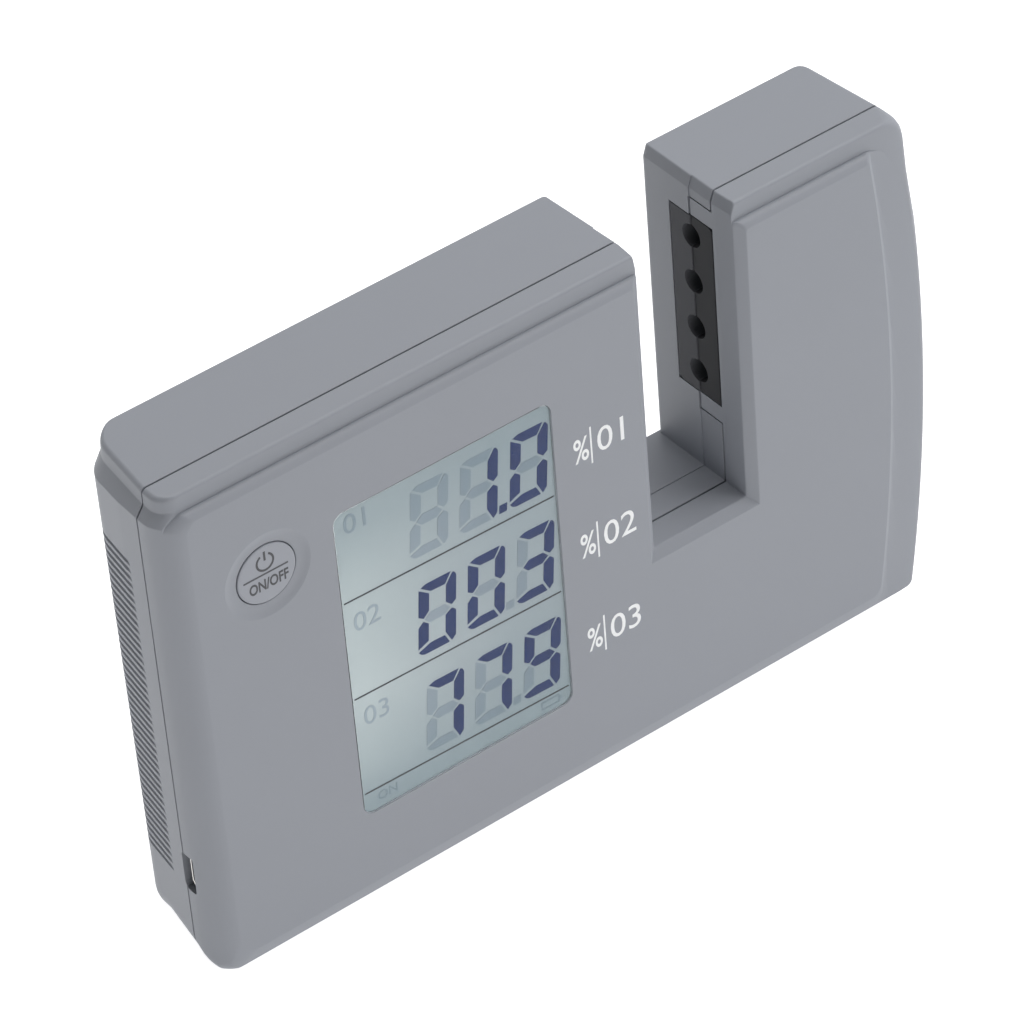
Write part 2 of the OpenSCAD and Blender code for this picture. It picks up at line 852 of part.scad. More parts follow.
// Cable from the main board under the slot and up to the emitter board
module link_cable() {
  start_x = across(board_right);
  end_x = across(slot_right + cable_out);
  turn_x = end_x - cable_bend_r;
  turn_z = link_z + cable_bend_r;
  color([0.2, 0.2, 0.22]) translate([0, depth(optics_depth), 0]) {
    translate([start_x, 0, link_z]) rotate([0, 90, 0]) cylinder(d = cable_d, h = turn_x - start_x);
    translate([turn_x, 0, turn_z]) rotate([90, 0, 0]) rotate([0, 0, -90])
      rotate_extrude(angle = 90) translate([cable_bend_r, 0]) circle(d = cable_d);
    translate([end_x, 0, turn_z]) cylinder(d = cable_d, h = connector_z - turn_z);
  }
}

// Short cable from the main board up to the receiver board
module receiver_cable() {
  start_z = receiver_header_z + receiver_header_h;
  color([0.2, 0.2, 0.22]) translate([across(slot_left - cable_out), depth(optics_depth), start_z])
    cylinder(d = cable_d, h = connector_z - start_z);
}

// Block of the cell's outline, drawn in by a margin
module cell_block(margin, f0, f1) {
  block(cell_x - cell_w / 2 + margin, cell_x + cell_w / 2 - margin, f0, f1,
        cell_z - cell_h / 2 + margin, cell_top - margin);
}

module battery_cell() {
  color([0.75, 0.76, 0.78]) cell_block(0, cell_front, cell_back);
}

module battery_pad() {
  color([0.3, 0.3, 0.3]) cell_block(pad_margin, cell_back, cavity_rear);
}

// Block on the battery connector's axis with half sizes across and up
module lead_block(half_w, half_h, f0, f1) {
  block(cell_x - half_w, cell_x + half_w, f0, f1, lead_z - half_h, lead_z + half_h);
}

// Bars at the two leads
module lead_bars(f0, f1, d) {
  for (x = [cell_x - lead_spacing / 2, cell_x + lead_spacing / 2]) bar([x, lead_z], f0, f1, d);
}

module battery_header() {
  half_w = battery_header_w / 2;
  half_h = battery_header_h / 2;
  color([0.92, 0.91, 0.87]) {
    difference() {
      lead_block(half_w, half_h, board_back, battery_header_end);
      lead_block(half_w - header_wall, half_h - header_wall, plug_front, battery_header_end + past);
    }
    lead_bars(plug_front - header_floor / 2, plug_front + header_pin_h, header_pin_d);
  }
}

module battery_plug() {
  inner = header_wall + clearance;
  color([0.88, 0.87, 0.83]) difference() {
    lead_block(battery_header_w / 2 - inner, battery_header_h / 2 - inner, plug_front, plug_back);
    lead_bars(plug_front - past, plug_front + header_pin_h + screw_spare, header_pin_d + 2 * fit_gap);
  }
}

// Two wires from the cell's upper end to the plug
module battery_lead() {
  turn_z = cell_top + lead_out;
  turn_f = cell_mid - lead_bend_r;
  color([0.6, 0.1, 0.1]) {
    for (x = [cell_x - lead_spacing / 2, cell_x + lead_spacing / 2]) {
      translate([across(x), depth(cell_mid), cell_top]) cylinder(d = lead_d, h = lead_out);
      translate([across(x), depth(turn_f), turn_z]) rotate([90, 0, 90])
        rotate_extrude(angle = 90) translate([lead_bend_r, 0]) circle(d = lead_d);
    }
    lead_bars(plug_back, turn_f, lead_d);
  }
}

module board_screws() {
  color([0.7, 0.7, 0.68]) for (place = board_screw_places) {
    bar(place, board_back, board_back + board_head_t, board_head_d);
    bar(place, board_screw_end, board_back, board_screw_d);
  }
}

module case_screws() {
  color([0.25, 0.25, 0.26]) for (place = case_screw_places) difference() {
    union() {
      bar(place, case_screw_seat, case_screw_seat + case_head_t, case_head_d);
      bar(place, case_screw_end, case_screw_seat, case_screw_d);
    }
    for (turn = [0, 90]) translate([across(place[0]), depth(case_screw_seat + case_head_t), place[1]])
      rotate([0, turn, 0]) cube([drive_w, case_head_t, drive_slot], center = true);
  }
}

front_shell();
rear_shell();
display_window();
lcd_glass();
lcd_frame();
backlight();
zebra_strips();
main_board();
board_chips();
button_cap();
switch_body();
switch_plunger();
switch_dome();
usb_shell();
usb_tongue();
emitter_strip();
receiver_strip();
emitter_board();
receiver_board();
emitter_leds();
photodiodes();
emitter_lenses();
receiver_filters();
emitter_connector();
receiver_connector();
link_header();
receiver_header();
link_cable();
receiver_cable();
battery_cell();
battery_pad();
battery_header();
battery_plug();
battery_lead();
board_screws();
case_screws();
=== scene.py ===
"""Looks of a hand-held transmittance meter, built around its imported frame.

Sizes are in millimetres until a piece is published: x from the left side, depth behind the
front face and height above the foot. Publishing turns them into the frame's metres.
"""

from __future__ import annotations

import json
import logging
import math
from collections.abc import Callable, Iterable, Sequence
from dataclasses import dataclass, field
from enum import Enum, IntEnum

import bmesh
import bpy
from mathutils import Matrix, Vector

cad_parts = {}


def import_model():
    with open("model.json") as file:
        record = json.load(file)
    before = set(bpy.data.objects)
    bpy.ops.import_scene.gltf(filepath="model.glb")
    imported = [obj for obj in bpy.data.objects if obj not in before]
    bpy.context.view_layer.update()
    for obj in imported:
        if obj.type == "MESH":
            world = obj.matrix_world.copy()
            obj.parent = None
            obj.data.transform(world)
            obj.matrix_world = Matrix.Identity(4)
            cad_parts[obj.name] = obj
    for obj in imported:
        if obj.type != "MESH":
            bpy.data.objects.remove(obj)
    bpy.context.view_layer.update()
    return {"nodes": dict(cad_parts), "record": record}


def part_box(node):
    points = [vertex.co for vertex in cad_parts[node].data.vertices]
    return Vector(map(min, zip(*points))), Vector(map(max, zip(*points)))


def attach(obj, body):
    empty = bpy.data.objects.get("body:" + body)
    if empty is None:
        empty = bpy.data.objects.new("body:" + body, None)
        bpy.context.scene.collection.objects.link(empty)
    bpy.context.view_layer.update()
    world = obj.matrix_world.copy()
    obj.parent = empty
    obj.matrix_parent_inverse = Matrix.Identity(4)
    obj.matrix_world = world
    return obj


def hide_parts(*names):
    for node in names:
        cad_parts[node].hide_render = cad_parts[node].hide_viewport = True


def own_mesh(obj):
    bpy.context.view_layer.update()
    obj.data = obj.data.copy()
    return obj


LOG = logging.getLogger("meter")
MM = 0.001
REARWARD = Vector((0, 1, 0))
WHITE = (1, 1, 1, 1)

# Roundings: the share of a side that one may use, the half angle from which a corner counts as straight,
# and how far its points then reach.
ROOM = 0.45
STRAIGHT = math.radians(88)
STRAIGHT_REACH = 0.1

Pair = tuple[float, float]
Triple = tuple[float, float, float]
Table = tuple[Pair, ...]
Loop = list[Pair]
Piece = bpy.types.Object
Socket = bpy.types.NodeSocket
Inputs = dict[str | int, object]


class Body(Enum):
    """Bodies of the frame that pieces ride on."""

    CASE = "case"
    BUTTON = "button"


class Cut(Enum):
    """Ways to combine two solids."""

    TAKE = "DIFFERENCE"
    JOIN = "UNION"


class Steps(IntEnum):
    """Numbers of steps along a rounding or round a full turn."""

    TINY = 3
    SMALL = 4
    MEDIUM = 5
    LARGE = 8
    TURN = 48
    FINE_TURN = 96


def place(x: float, depth: float, z: float) -> Vector:
    """Point of the case on the frame's axes: x from the left, depth behind the front, height."""
    return Vector((x - Case.width / 2, depth - Case.thickness / 2, z))


def front_view(loop: Loop, depth: float) -> list[Vector]:
    """Places a front-view outline at a depth."""
    return [place(x, depth, z) for x, z in loop]


def side_view(loop: Loop, x: float) -> list[Vector]:
    """Places a side-view outline at a distance from the left."""
    return [place(x, depth, z) for depth, z in loop]


class NodeSheet:
    """Short way to lay out the nodes of one material or group."""

    def __init__(self, tree: bpy.types.NodeTree) -> None:
        """Keeps the tree that the nodes go into."""
        self.tree = tree

    def add(self, kind: str, inputs: Inputs | None = None, **values: object) -> bpy.types.Node:
        """Adds a node.

        Args:
            kind: Blender's type name without its ShaderNode prefix.
            inputs: What feed takes for the new node.
            **values: Properties of the node, set by name before its inputs.

        Returns:
            The new node.
        """
        prefix = "" if kind.startswith("NodeGroup") else "ShaderNode"
        node = self.tree.nodes.new(prefix + kind)
        for name, value in values.items():
            setattr(node, name, value)
        return self.feed(node, inputs or {})

    def feed(self, node: bpy.types.Node, inputs: Inputs) -> bpy.types.Node:
        """Links or sets a node's inputs.

        Args:
            node: The node.
            inputs: Sockets to link and values to set, by the input's name or number.

        Returns:
            The node.
        """
        for key, value in inputs.items():
            if isinstance(value, Socket):
                self.tree.links.new(value, node.inputs[key])
            else:
                node.inputs[key].default_value = value
        return node

    def ramp(self, factor: Socket, stops: Sequence[tuple[float, Sequence[float]]]) -> Socket:
        """Turns a value into a colour.

        Args:
            factor: Value from 0 to 1.
            stops: Places and their linear colours.

        Returns:
            The colour socket.
        """
        node = self.add("ValToRGB", {"Fac": factor})
        ramp = node.color_ramp
        while len(ramp.elements) < len(stops):
            ramp.elements.new(0.5)
        for element, (at, colour) in zip(ramp.elements, stops):
            element.position = at
            element.color = (*colour[:3], 1)
        return node.outputs["Color"]

    def spread(self, value: Socket, to: Pair = (0, 1), source: Pair = (0, 1)) -> Socket:
        """Maps a value from a source range onto another range."""
        ends = {"From Min": source[0], "From Max": source[1], "To Min": to[0], "To Max": to[1]}
        return self.add("MapRange", {"Value": value, **ends}).outputs["Result"]

    def bump(self, height: Socket, strength: float, distance: float) -> Socket:
        """Turns a height into a normal, with the strength and the depth in metres of the relief."""
        node = self.add("Bump", {"Strength": strength, "Distance": distance, "Height": height})
        return node.outputs["Normal"]

    def group(self, tree: bpy.types.NodeTree, vector: Socket, **values: float) -> bpy.types.Node:
        """Adds a shared node group at the given coordinates, with its value inputs set by name."""
        return self.add("Group", {"Vector": vector, **values}, node_tree=tree)


class Groups:
    """Shader node groups that several finishes share, each built once."""

    fine_detail: float = 3
    wide_detail: float = 4
    line_detail: float = 2
    fine_share: float = 0.35
    wide_share: float = 0.65
    line_stretch: Triple = (0.06, 1, 1)
    _built: dict[str, bpy.types.NodeTree] = {}

    @classmethod
    def _start(cls, name: str, inputs: Sequence[str], outputs: Sequence[str]) -> NodeSheet:
        """Starts a group with its sockets.

        Args:
            name: Name of the group.
            inputs: Names of value inputs after the vector.
            outputs: Names of the value outputs.

        Returns:
            The sheet to lay nodes on.
        """
        tree = bpy.data.node_groups.new(name, "ShaderNodeTree")
        tree.interface.new_socket("Vector", in_out="INPUT", socket_type="NodeSocketVector")
        for label in inputs:
            tree.interface.new_socket(label, in_out="INPUT", socket_type="NodeSocketFloat")
        for label in outputs:
            tree.interface.new_socket(label, in_out="OUTPUT", socket_type="NodeSocketFloat")
        cls._built[name] = tree
        return NodeSheet(tree)

    @classmethod
    def grain(cls) -> bpy.types.NodeTree:
        """Fine moulded grain: a soft tone that drifts and a pebbled height.

        Returns:
            The group.
        """
        if "moulded_grain" in cls._built:
            return cls._built["moulded_grain"]
        sheet = cls._start("moulded_grain", ["Grains", "Drift"], ["Tone", "Height"])
        start, end = sheet.add("NodeGroupInput").outputs, sheet.add("NodeGroupOutput")
        vector = start["Vector"]
        fine = sheet.add("TexNoise", {"Vector": vector, "Scale": start["Grains"], "Detail": cls.fine_detail})
        wide = sheet.add("TexNoise", {"Vector": vector, "Scale": start["Drift"], "Detail": cls.wide_detail})
        share = sheet.add("Math", {0: wide.outputs["Fac"], 1: cls.wide_share}, operation="MULTIPLY")
        parts = {0: fine.outputs["Fac"], 1: cls.fine_share, 2: share.outputs[0]}
        mean = sheet.add("Math", parts, operation="MULTIPLY_ADD")
        sheet.feed(end, {"Tone": mean.outputs[0], "Height": fine.outputs["Fac"]})
        return sheet.tree

    @classmethod
    def brushed(cls) -> bpy.types.NodeTree:
        """Fine drawn lines along X, for plated and rolled metal.

        Returns:
            The group.
        """
        if "drawn_lines" in cls._built:
            return cls._built["drawn_lines"]
        sheet = cls._start("drawn_lines", ["Lines"], ["Tone", "Height"])
        start, end = sheet.add("NodeGroupInput").outputs, sheet.add("NodeGroupOutput")
        stretch = sheet.add("Mapping", {"Vector": start["Vector"], "Scale": cls.line_stretch})
        along = {"Vector": stretch.outputs["Vector"], "Scale": start["Lines"], "Detail": cls.line_detail}
        lines = sheet.add("TexNoise", along).outputs["Fac"]
        sheet.feed(end, {"Tone": lines, "Height": lines})
        return sheet.tree


@dataclass(frozen=True)
class Finish:
    """A surface finish that makes one procedural material."""

    name: str
    colour: Triple
    roughness: float = 0.5
    stops: Pair = (0.25, 0.75)
    gloss_vary: float = 0.05
    relief: float = 0.12
    relief_depth: float = 0.00003

    def start(self) -> tuple[bpy.types.Material, NodeSheet, bpy.types.Node, Socket]:
        """Starts a material.

        Returns:
            The material, its sheet, its shader and the object coordinates.
        """
        material = bpy.data.materials.new(self.name)
        material.use_nodes = True
        sheet = NodeSheet(material.node_tree)
        shader = material.node_tree.nodes["Principled BSDF"]
        vector = sheet.add("TexCoord").outputs["Object"]
        return material, sheet, shader, vector

    def shades(self, amount: float) -> list[tuple[float, tuple[float, ...]]]:
        """Ramp stops around the colour.

        Args:
            amount: Share by which the colour goes darker and lighter.

        Returns:
            Two stops for a ramp.
        """
        dark, light = self.stops
        return [
            (dark, tuple(c * (1 - amount) for c in self.colour)),
            (light, tuple(min(1.0, c * (1 + amount)) for c in self.colour)),
        ]

    def surface(self, sheet: NodeSheet, shader: bpy.types.Node, group: bpy.types.Node) -> None:
        """Varies the gloss by a group's tone and the relief by its height.

        Args:
            sheet: Sheet of the material.
            shader: Shader of the material.
            group: Node of the shared group.
        """
        gloss = (self.roughness - self.gloss_vary, self.roughness + self.gloss_vary)
        sheet.feed(shader, {
            "Roughness": sheet.spread(group.outputs["Tone"], gloss),
            "Normal": sheet.bump(group.outputs["Height"], self.relief, self.relief_depth),
        })

    def material(self) -> bpy.types.Material:
        """Makes the material; each finish has its own way."""
        raise NotImplementedError


@dataclass(frozen=True)
class Moulded(Finish):
    """Moulded plastic, rubber or sheath with a fine grain."""

    grains: float = 4200
    drift: float = 60
    vary: float = 0.03
    specular: float = 0.5

    def material(self) -> bpy.types.Material:
        """Makes the material with its grain in colour, gloss and relief.

        Returns:
            The material.
        """
        material, sheet, shader, vector = self.start()
        grain = sheet.group(Groups.grain(), vector, Grains=self.grains, Drift=self.drift)
        tint = self.tint(sheet, vector, grain.outputs["Tone"])
        sheet.feed(shader, {"Base Color": tint, "Specular IOR Level": self.specular})
        self.surface(sheet, shader, grain)
        return material

    def tint(self, sheet: NodeSheet, vector: Socket, tone: Socket) -> Socket:
        """Colour socket from the grain's tone; the place plays no part here."""
        return sheet.ramp(tone, self.shades(self.vary))


@dataclass(frozen=True)
class PalerRearHalf(Moulded):
    """Moulded piece of two halves, the rear one paler than the front one."""

    # How many times paler the rear half's colour is drawn than the front half's.
    rear: float = 2.4
    split: float = -0.00025

    def tint(self, sheet: NodeSheet, vector: Socket, tone: Socket) -> Socket:
        """Colour that changes where the halves meet.

        Args:
            sheet: Sheet of the material.
            vector: Object coordinates.
            tone: The grain's tone.

        Returns:
            The colour socket.
        """
        axes = sheet.add("SeparateXYZ", {0: vector})
        behind = sheet.add("Math", {0: axes.outputs["Y"], 1: self.split}, operation="GREATER_THAN")
        shades = self.shades(self.vary)
        paler = [(at, tuple(c * self.rear for c in colour)) for at, colour in shades]
        halves = {"Factor": behind.outputs[0], "A": sheet.ramp(tone, shades), "B": sheet.ramp(tone, paler)}
        return sheet.add("Mix", halves, data_type="RGBA").outputs["Result"]


@dataclass(frozen=True)
class Metal(Finish):
    """Plated or rolled metal with fine drawn lines."""

    lines: float = 9000
    vary: float = 0.12
    gloss_vary: float = 0.08
    relief: float = 0.08
    relief_depth: float = 0.00002

    def material(self) -> bpy.types.Material:
        """Makes the material with lines in colour, gloss and relief.

        Returns:
            The material.
        """
        material, sheet, shader, vector = self.start()
        drawn = sheet.group(Groups.brushed(), vector, Lines=self.lines)
        tint = sheet.ramp(drawn.outputs["Tone"], self.shades(self.vary))
        sheet.feed(shader, {"Base Color": tint, "Metallic": 1})
        self.surface(sheet, shader, drawn)
        return material


@dataclass(frozen=True)
class Clear(Finish):
    """Clear moulded or ground piece that light passes through."""

    ior: float = 1.49
    grains: float = 900
    drift: float = 40
    vary: float = 0.02
    gloss: Pair = (0.6, 1.4)

    def material(self) -> bpy.types.Material:
        """Makes the material; shadow rays pass, so what lies behind stays lit.

        Returns:
            The material.
        """
        material, sheet, shader, vector = self.start()
        grain = sheet.group(Groups.grain(), vector, Grains=self.grains, Drift=self.drift)
        tone = grain.outputs["Tone"]
        low, high = (self.roughness * share for share in self.gloss)
        sheet.feed(shader, {
            "Base Color": sheet.ramp(tone, self.shades(self.vary)),
            "Roughness": sheet.spread(tone, (low, high)),
            "Transmission Weight": 1,
            "IOR": self.ior,
        })
        shadow = sheet.add("LightPath").outputs["Is Shadow Ray"]
        through = sheet.add("BsdfTransparent").outputs["BSDF"]
        mix = sheet.add("MixShader", {"Fac": shadow, 1: shader.outputs["BSDF"], 2: through})
        sheet.feed(sheet.tree.nodes["Material Output"], {"Surface": mix.outputs["Shader"]})
        return material


@dataclass(frozen=True)
class PaintedShadeDisplay(Finish):
    """Reflective display face with painted light and shade: pale at its left, darker to the right, at its
    foot and its head.
    """

    # Painted light and shade: colours at the left, middle and right, and a darker foot colour that the shade
    # table mixes in at the foot and the head.
    middle: Triple = (0.283, 0.323, 0.343)
    right: Triple = (0.242, 0.284, 0.306)
    foot: Triple = (0.2, 0.25, 0.272)
    span_x: Pair = (-0.0442, -0.0018)
    span_z: Pair = (0.0165, 0.0785)
    across: Triple = (0.08, 0.5, 0.75)
    shade: Table = ((0.03, 1.0), (0.16, 0.53), (0.4, 0.0), (0.75, 0.285), (0.92, 0.73))
    grains: float = 9000
    drift: float = 300
    relief: float = 0.04
    relief_depth: float = 0.00001
    specular: float = 0.1

    def material(self) -> bpy.types.Material:
        """Makes the material with its painted light and shade over the face.

        Returns:
            The material.
        """
        material, sheet, shader, vector = self.start()
        # Painted light and shade: a ramp from left to right, then the darker foot colour mixed in towards the
        # foot and the head.
        axes = sheet.add("SeparateXYZ", {0: vector}).outputs
        across, up = sheet.spread(axes["X"], source=self.span_x), sheet.spread(axes["Z"], source=self.span_z)
        wide = sheet.ramp(across, list(zip(self.across, (self.colour, self.middle, self.right))))
        shade = sheet.ramp(up, [(stop, (share,) * 3) for stop, share in self.shade])
        mix = sheet.add("Mix", {"Factor": shade, "A": wide, "B": (*self.foot, 1)}, data_type="RGBA")
        sheet.feed(shader, {"Base Color": mix.outputs["Result"], "Specular IOR Level": self.specular})
        grain = sheet.group(Groups.grain(), vector, Grains=self.grains, Drift=self.drift)
        self.surface(sheet, shader, grain)
        return material


@dataclass(frozen=True)
class BoardMask(Finish):
    """Circuit board: solder mask over faint copper tracks."""

    copper: Triple = (0.05, 0.24, 0.09)
    tracks: float = 320
    track: float = 0.012
    dull: float = 0.85
    copper_gloss: float = 0.7
    relief: float = 0.2

    def material(self) -> bpy.types.Material:
        """Makes the material with tracks in colour and relief.

        Returns:
            The material.
        """
        material, sheet, shader, vector = self.start()
        turn = sheet.add("Mapping", {"Vector": vector, "Rotation": (math.pi / 2, 0, 0)})
        bricks = sheet.add("TexBrick", {
            "Vector": turn.outputs["Vector"],
            "Scale": self.tracks,
            "Mortar Size": self.track,
            "Color1": (*self.colour, 1),
            "Color2": (*(c * self.dull for c in self.colour), 1),
            "Mortar": (*self.copper, 1),
        })
        gloss = (self.roughness, self.roughness * self.copper_gloss)
        sheet.feed(shader, {
            "Base Color": bricks.outputs["Color"],
            "Roughness": sheet.spread(bricks.outputs["Fac"], gloss),
            "Normal": sheet.bump(bricks.outputs["Fac"], self.relief, self.relief_depth),
        })
        return material


class Palette:
    """Every finish of the meter by the record's material slot, made when first used."""

    finishes: dict[str, Finish] = {
        finish.name: finish for finish in (
            Moulded("shell_grey", (0.29, 0.305, 0.34), 0.52, vary=0.02, relief=0.1),
            Moulded("button_grey", (0.325, 0.34, 0.38), 0.5, vary=0.02, relief=0.08),
            Clear("window_clear", (0.98, 0.99, 0.99), 0.02, ior=1.2),
            # Display face in painted light and shade.
            PaintedShadeDisplay("lcd", (0.374, 0.425, 0.436), 0.5),
            Moulded("white_plastic", (0.8, 0.79, 0.74), 0.45, grains=2500),
            Moulded("light_guide", (0.9, 0.92, 0.9), 0.2, grains=1500, relief=0.04),
            Moulded("contact_rubber", (0.05, 0.05, 0.05), 0.75, grains=3000, relief=0.2),
            BoardMask("board_green", (0.02, 0.14, 0.05), 0.3),
            Moulded("chip_black", (0.015, 0.015, 0.016), 0.5, grains=5000, specular=0.25),
            Metal("steel", (0.68, 0.67, 0.65), 0.3),
            Metal("screw_black", (0.06, 0.06, 0.062), 0.38, lines=3000),
            PalerRearHalf("strip_black", (0.04, 0.041, 0.045), 0.6, grains=3600, vary=0.05, specular=0.12),
            Moulded("led_body", (0.8, 0.76, 0.6), 0.25, grains=2500),
            Clear("lens_clear", (0.9, 0.93, 0.95), 0.05),
            Clear("filter_dark", (0.1, 0.08, 0.2), 0.05, ior=1.52),
            Moulded("cable_black", (0.03, 0.03, 0.03), 0.6, grains=2500),
            Metal("cell_foil", (0.6, 0.61, 0.63), 0.4, lines=1500),
            Moulded("lead_red", (0.4, 0.02, 0.02), 0.5, grains=2500),
            Moulded("segment_ink", (0.009, 0.022, 0.088), 0.6, grains=9000, vary=0.06, specular=0.1),
            # Unlit figures in the same painted light and shade as the display face.
            PaintedShadeDisplay(
                "ghost_ink", (0.266, 0.319, 0.353), 0.5, middle=(0.201, 0.242, 0.278),
                right=(0.172, 0.213, 0.248), foot=(0.142, 0.188, 0.22),
            ),
            Moulded("line_ink", (0.03, 0.035, 0.04), 0.6, grains=9000, specular=0.1),
            Moulded("print_white", (0.93, 0.94, 0.95), 0.55, grains=7000),
            Moulded("print_dark", (0.07, 0.072, 0.078), 0.6, grains=7000),
        )
    }
    _made: dict[str, bpy.types.Material] = {}

    @classmethod
    def get(cls, key: str) -> bpy.types.Material:
        """Material of a finish.

        Args:
            key: Name of the finish.

        Returns:
            The material, made once.
        """
        if key not in cls._made:
            cls._made[key] = cls.finishes[key].material()
        return cls._made[key]


class Solid:
    """A bmesh in millimetres on the frame's axes, with the operators that shape it."""

    weld: float = 1e-5
    clean: float = 1e-4
    bevel_steps: int = 2
    bevel_round: float = 0.5
    letter_depth: float = 0.5
    letter_steps: int = 4
    crease: float = math.radians(35)

    def __init__(self) -> None:
        """Starts empty."""
        self.bm = bmesh.new()

    def ring(self, points: Sequence[Vector]) -> list[bmesh.types.BMVert]:
        """Starts a closed ring of edges.

        Args:
            points: Places of the ring's vertices in order.

        Returns:
            The ring's vertices.
        """
        verts = [self.bm.verts.new(p) for p in points]
        for a, b in zip(verts, verts[1:] + verts[:1]):
            self.bm.edges.new((a, b))
        return verts

    def grow(self, ring: Sequence[bmesh.types.BMVert], points: Sequence[Vector]) -> list[bmesh.types.BMVert]:
        """Extrudes a ring to new places.

        Args:
            ring: Ring to extrude.
            points: Places of the new ring in the same order.

        Returns:
            The new ring's vertices.
        """
        edges = [self.bm.edges.get((a, b)) for a, b in zip(ring, list(ring[1:]) + [ring[0]])]
        made = bmesh.ops.extrude_edge_only(self.bm, edges=edges)["geom"]
        fresh = {g for g in made if isinstance(g, bmesh.types.BMVert)}
        result = []
        for vert, point in zip(ring, points):
            twin = next(e.other_vert(vert) for e in vert.link_edges if e.other_vert(vert) in fresh)
            twin.co = point
            result.append(twin)
        return result

    def cap(self, ring: Sequence[bmesh.types.BMVert]) -> None:
        """Closes a ring with one face."""
        edges = [self.bm.edges.get((a, b)) for a, b in zip(ring, list(ring[1:]) + [ring[0]])]
        bmesh.ops.contextual_create(self.bm, geom=edges)

    def loft(self, loops: Sequence[Sequence[Vector]]) -> Solid:
        """Skins rings of equal count and closes both ends.

        Args:
            loops: Rings of points in order.

        Returns:
            This solid.
        """
        ring = self.ring(loops[0])
        self.cap(ring)
        for points in loops[1:]:
            ring = self.grow(ring, points)
        self.cap(ring)
        return self

    def block(self, x: Pair, depth: Pair, z: Pair, bevel: float = 0.0) -> Solid:
        """Adds a block with bevelled edges.

        Args:
            x: Two distances from the left side.
            depth: Two depths behind the front face.
            z: Two heights.
            bevel: Width of the bevel.

        Returns:
            This solid.
        """
        low, high = place(x[0], depth[0], z[0]), place(x[1], depth[1], z[1])
        matrix = Matrix.Translation((low + high) / 2) @ Matrix.Diagonal((*(high - low), 1))
        verts = bmesh.ops.create_cube(self.bm, size=1, matrix=matrix)["verts"]
        if bevel:
            edges = list({e for v in verts for e in v.link_edges})
            bmesh.ops.bevel(
                self.bm, geom=edges, offset=bevel, affect="EDGES", segments=self.bevel_steps,
                profile=self.bevel_round, material=-1,
            )
        return self

    def turned(self, centre: Vector, axis: Vector, profile: Sequence[Pair], steps: int) -> Solid:
        """Spins a profile that starts and ends on its axis.

        Args:
            centre: Point on the axis.
            axis: Direction of the axis.
            profile: Radius and distance along the axis of each point, ends at radius 0.
            steps: Number of steps round the axis.

        Returns:
            This solid.
        """
        side = axis.orthogonal().normalized()
        verts = [self.bm.verts.new(centre + side * r + axis * d) for r, d in profile]
        edges = [self.bm.edges.new(pair) for pair in zip(verts, verts[1:])]
        bmesh.ops.spin(
            self.bm, geom=verts + edges, cent=centre, axis=axis, angle=2 * math.pi, steps=steps,
            use_merge=True,
        )
        bmesh.ops.remove_doubles(self.bm, verts=list(self.bm.verts), dist=self.weld)
        return self

    def lettered(self, words: str, x: Sequence[float], z: Pair, depth: Pair, bold: float = 0.0) -> Solid:
        """Adds raised lettering of a given height.

        Args:
            words: What it says.
            x: Distance from the left side, and where the lettering ends if it is stretched.
            z: Two heights.
            depth: Two depths behind the front face.
            bold: How much the strokes grow, as a share of the size.

        Returns:
            This solid.
        """
        curve = bpy.data.curves.new("words", "FONT")
        curve.body, curve.offset = words, bold
        curve.extrude, curve.resolution_u = self.letter_depth, self.letter_steps
        work = bpy.data.objects.new("words", curve)
        bpy.context.scene.collection.objects.link(work)
        bpy.context.view_layer.update()
        mesh = work.evaluated_get(bpy.context.evaluated_depsgraph_get()).to_mesh()
        old = set(self.bm.verts)
        self.bm.from_mesh(mesh)
        fresh = [v for v in self.bm.verts if v not in old]
        bpy.data.objects.remove(work)
        bpy.data.curves.remove(curve)
        low = Vector([min(v.co[k] for v in fresh) for k in range(3)])
        high = Vector([max(v.co[k] for v in fresh) for k in range(3)])
        tall = z[1] - z[0]
        wide = x[1] - x[0] if len(x) > 1 else tall * (high.x - low.x) / (high.y - low.y)
        size = Vector((wide, tall, depth[1] - depth[0]))
        grow = Matrix.Diagonal((*(s / (b - a) for s, a, b in zip(size, low, high)), 1))
        stand = Matrix(((1, 0, 0, 0), (0, 0, -1, 0), (0, 1, 0, 0), (0, 0, 0, 1)))
        at = Matrix.Translation(place(x[0], depth[1], z[0]))
        bmesh.ops.transform(self.bm, matrix=at @ stand @ (grow @ Matrix.Translation(-low)), verts=fresh)
        bmesh.ops.remove_doubles(self.bm, verts=fresh, dist=self.clean)
        return self

    def tidy(self) -> Solid:
        """Turns every face outwards."""
        bmesh.ops.recalc_face_normals(self.bm, faces=list(self.bm.faces))
        return self

    def combine(self, other: Solid, cut: Cut) -> Solid:
        """Cuts another solid from this one, or joins it on.

        Args:
            other: The other solid, used up by this.
            cut: Which of the two.

        Returns:
            This solid.
        """
        scene = bpy.context.scene.collection
        objects = []
        for solid in (self.tidy(), other.tidy()):
            mesh = bpy.data.meshes.new("work")
            solid.bm.to_mesh(mesh)
            solid.bm.free()
            objects.append(bpy.data.objects.new("work", mesh))
            scene.objects.link(objects[-1])
        step = objects[0].modifiers.new("combine", "BOOLEAN")
        step.operation, step.object, step.solver = cut.value, objects[1], "EXACT"
        bpy.context.view_layer.update()
        result = objects[0].evaluated_get(bpy.context.evaluated_depsgraph_get()).to_mesh()
        self.bm = bmesh.new()
        self.bm.from_mesh(result)
        for item in objects:
            mesh = item.data
            bpy.data.objects.remove(item)
            bpy.data.meshes.remove(mesh)
        bmesh.ops.dissolve_degenerate(self.bm, edges=list(self.bm.edges), dist=self.clean)
        return self

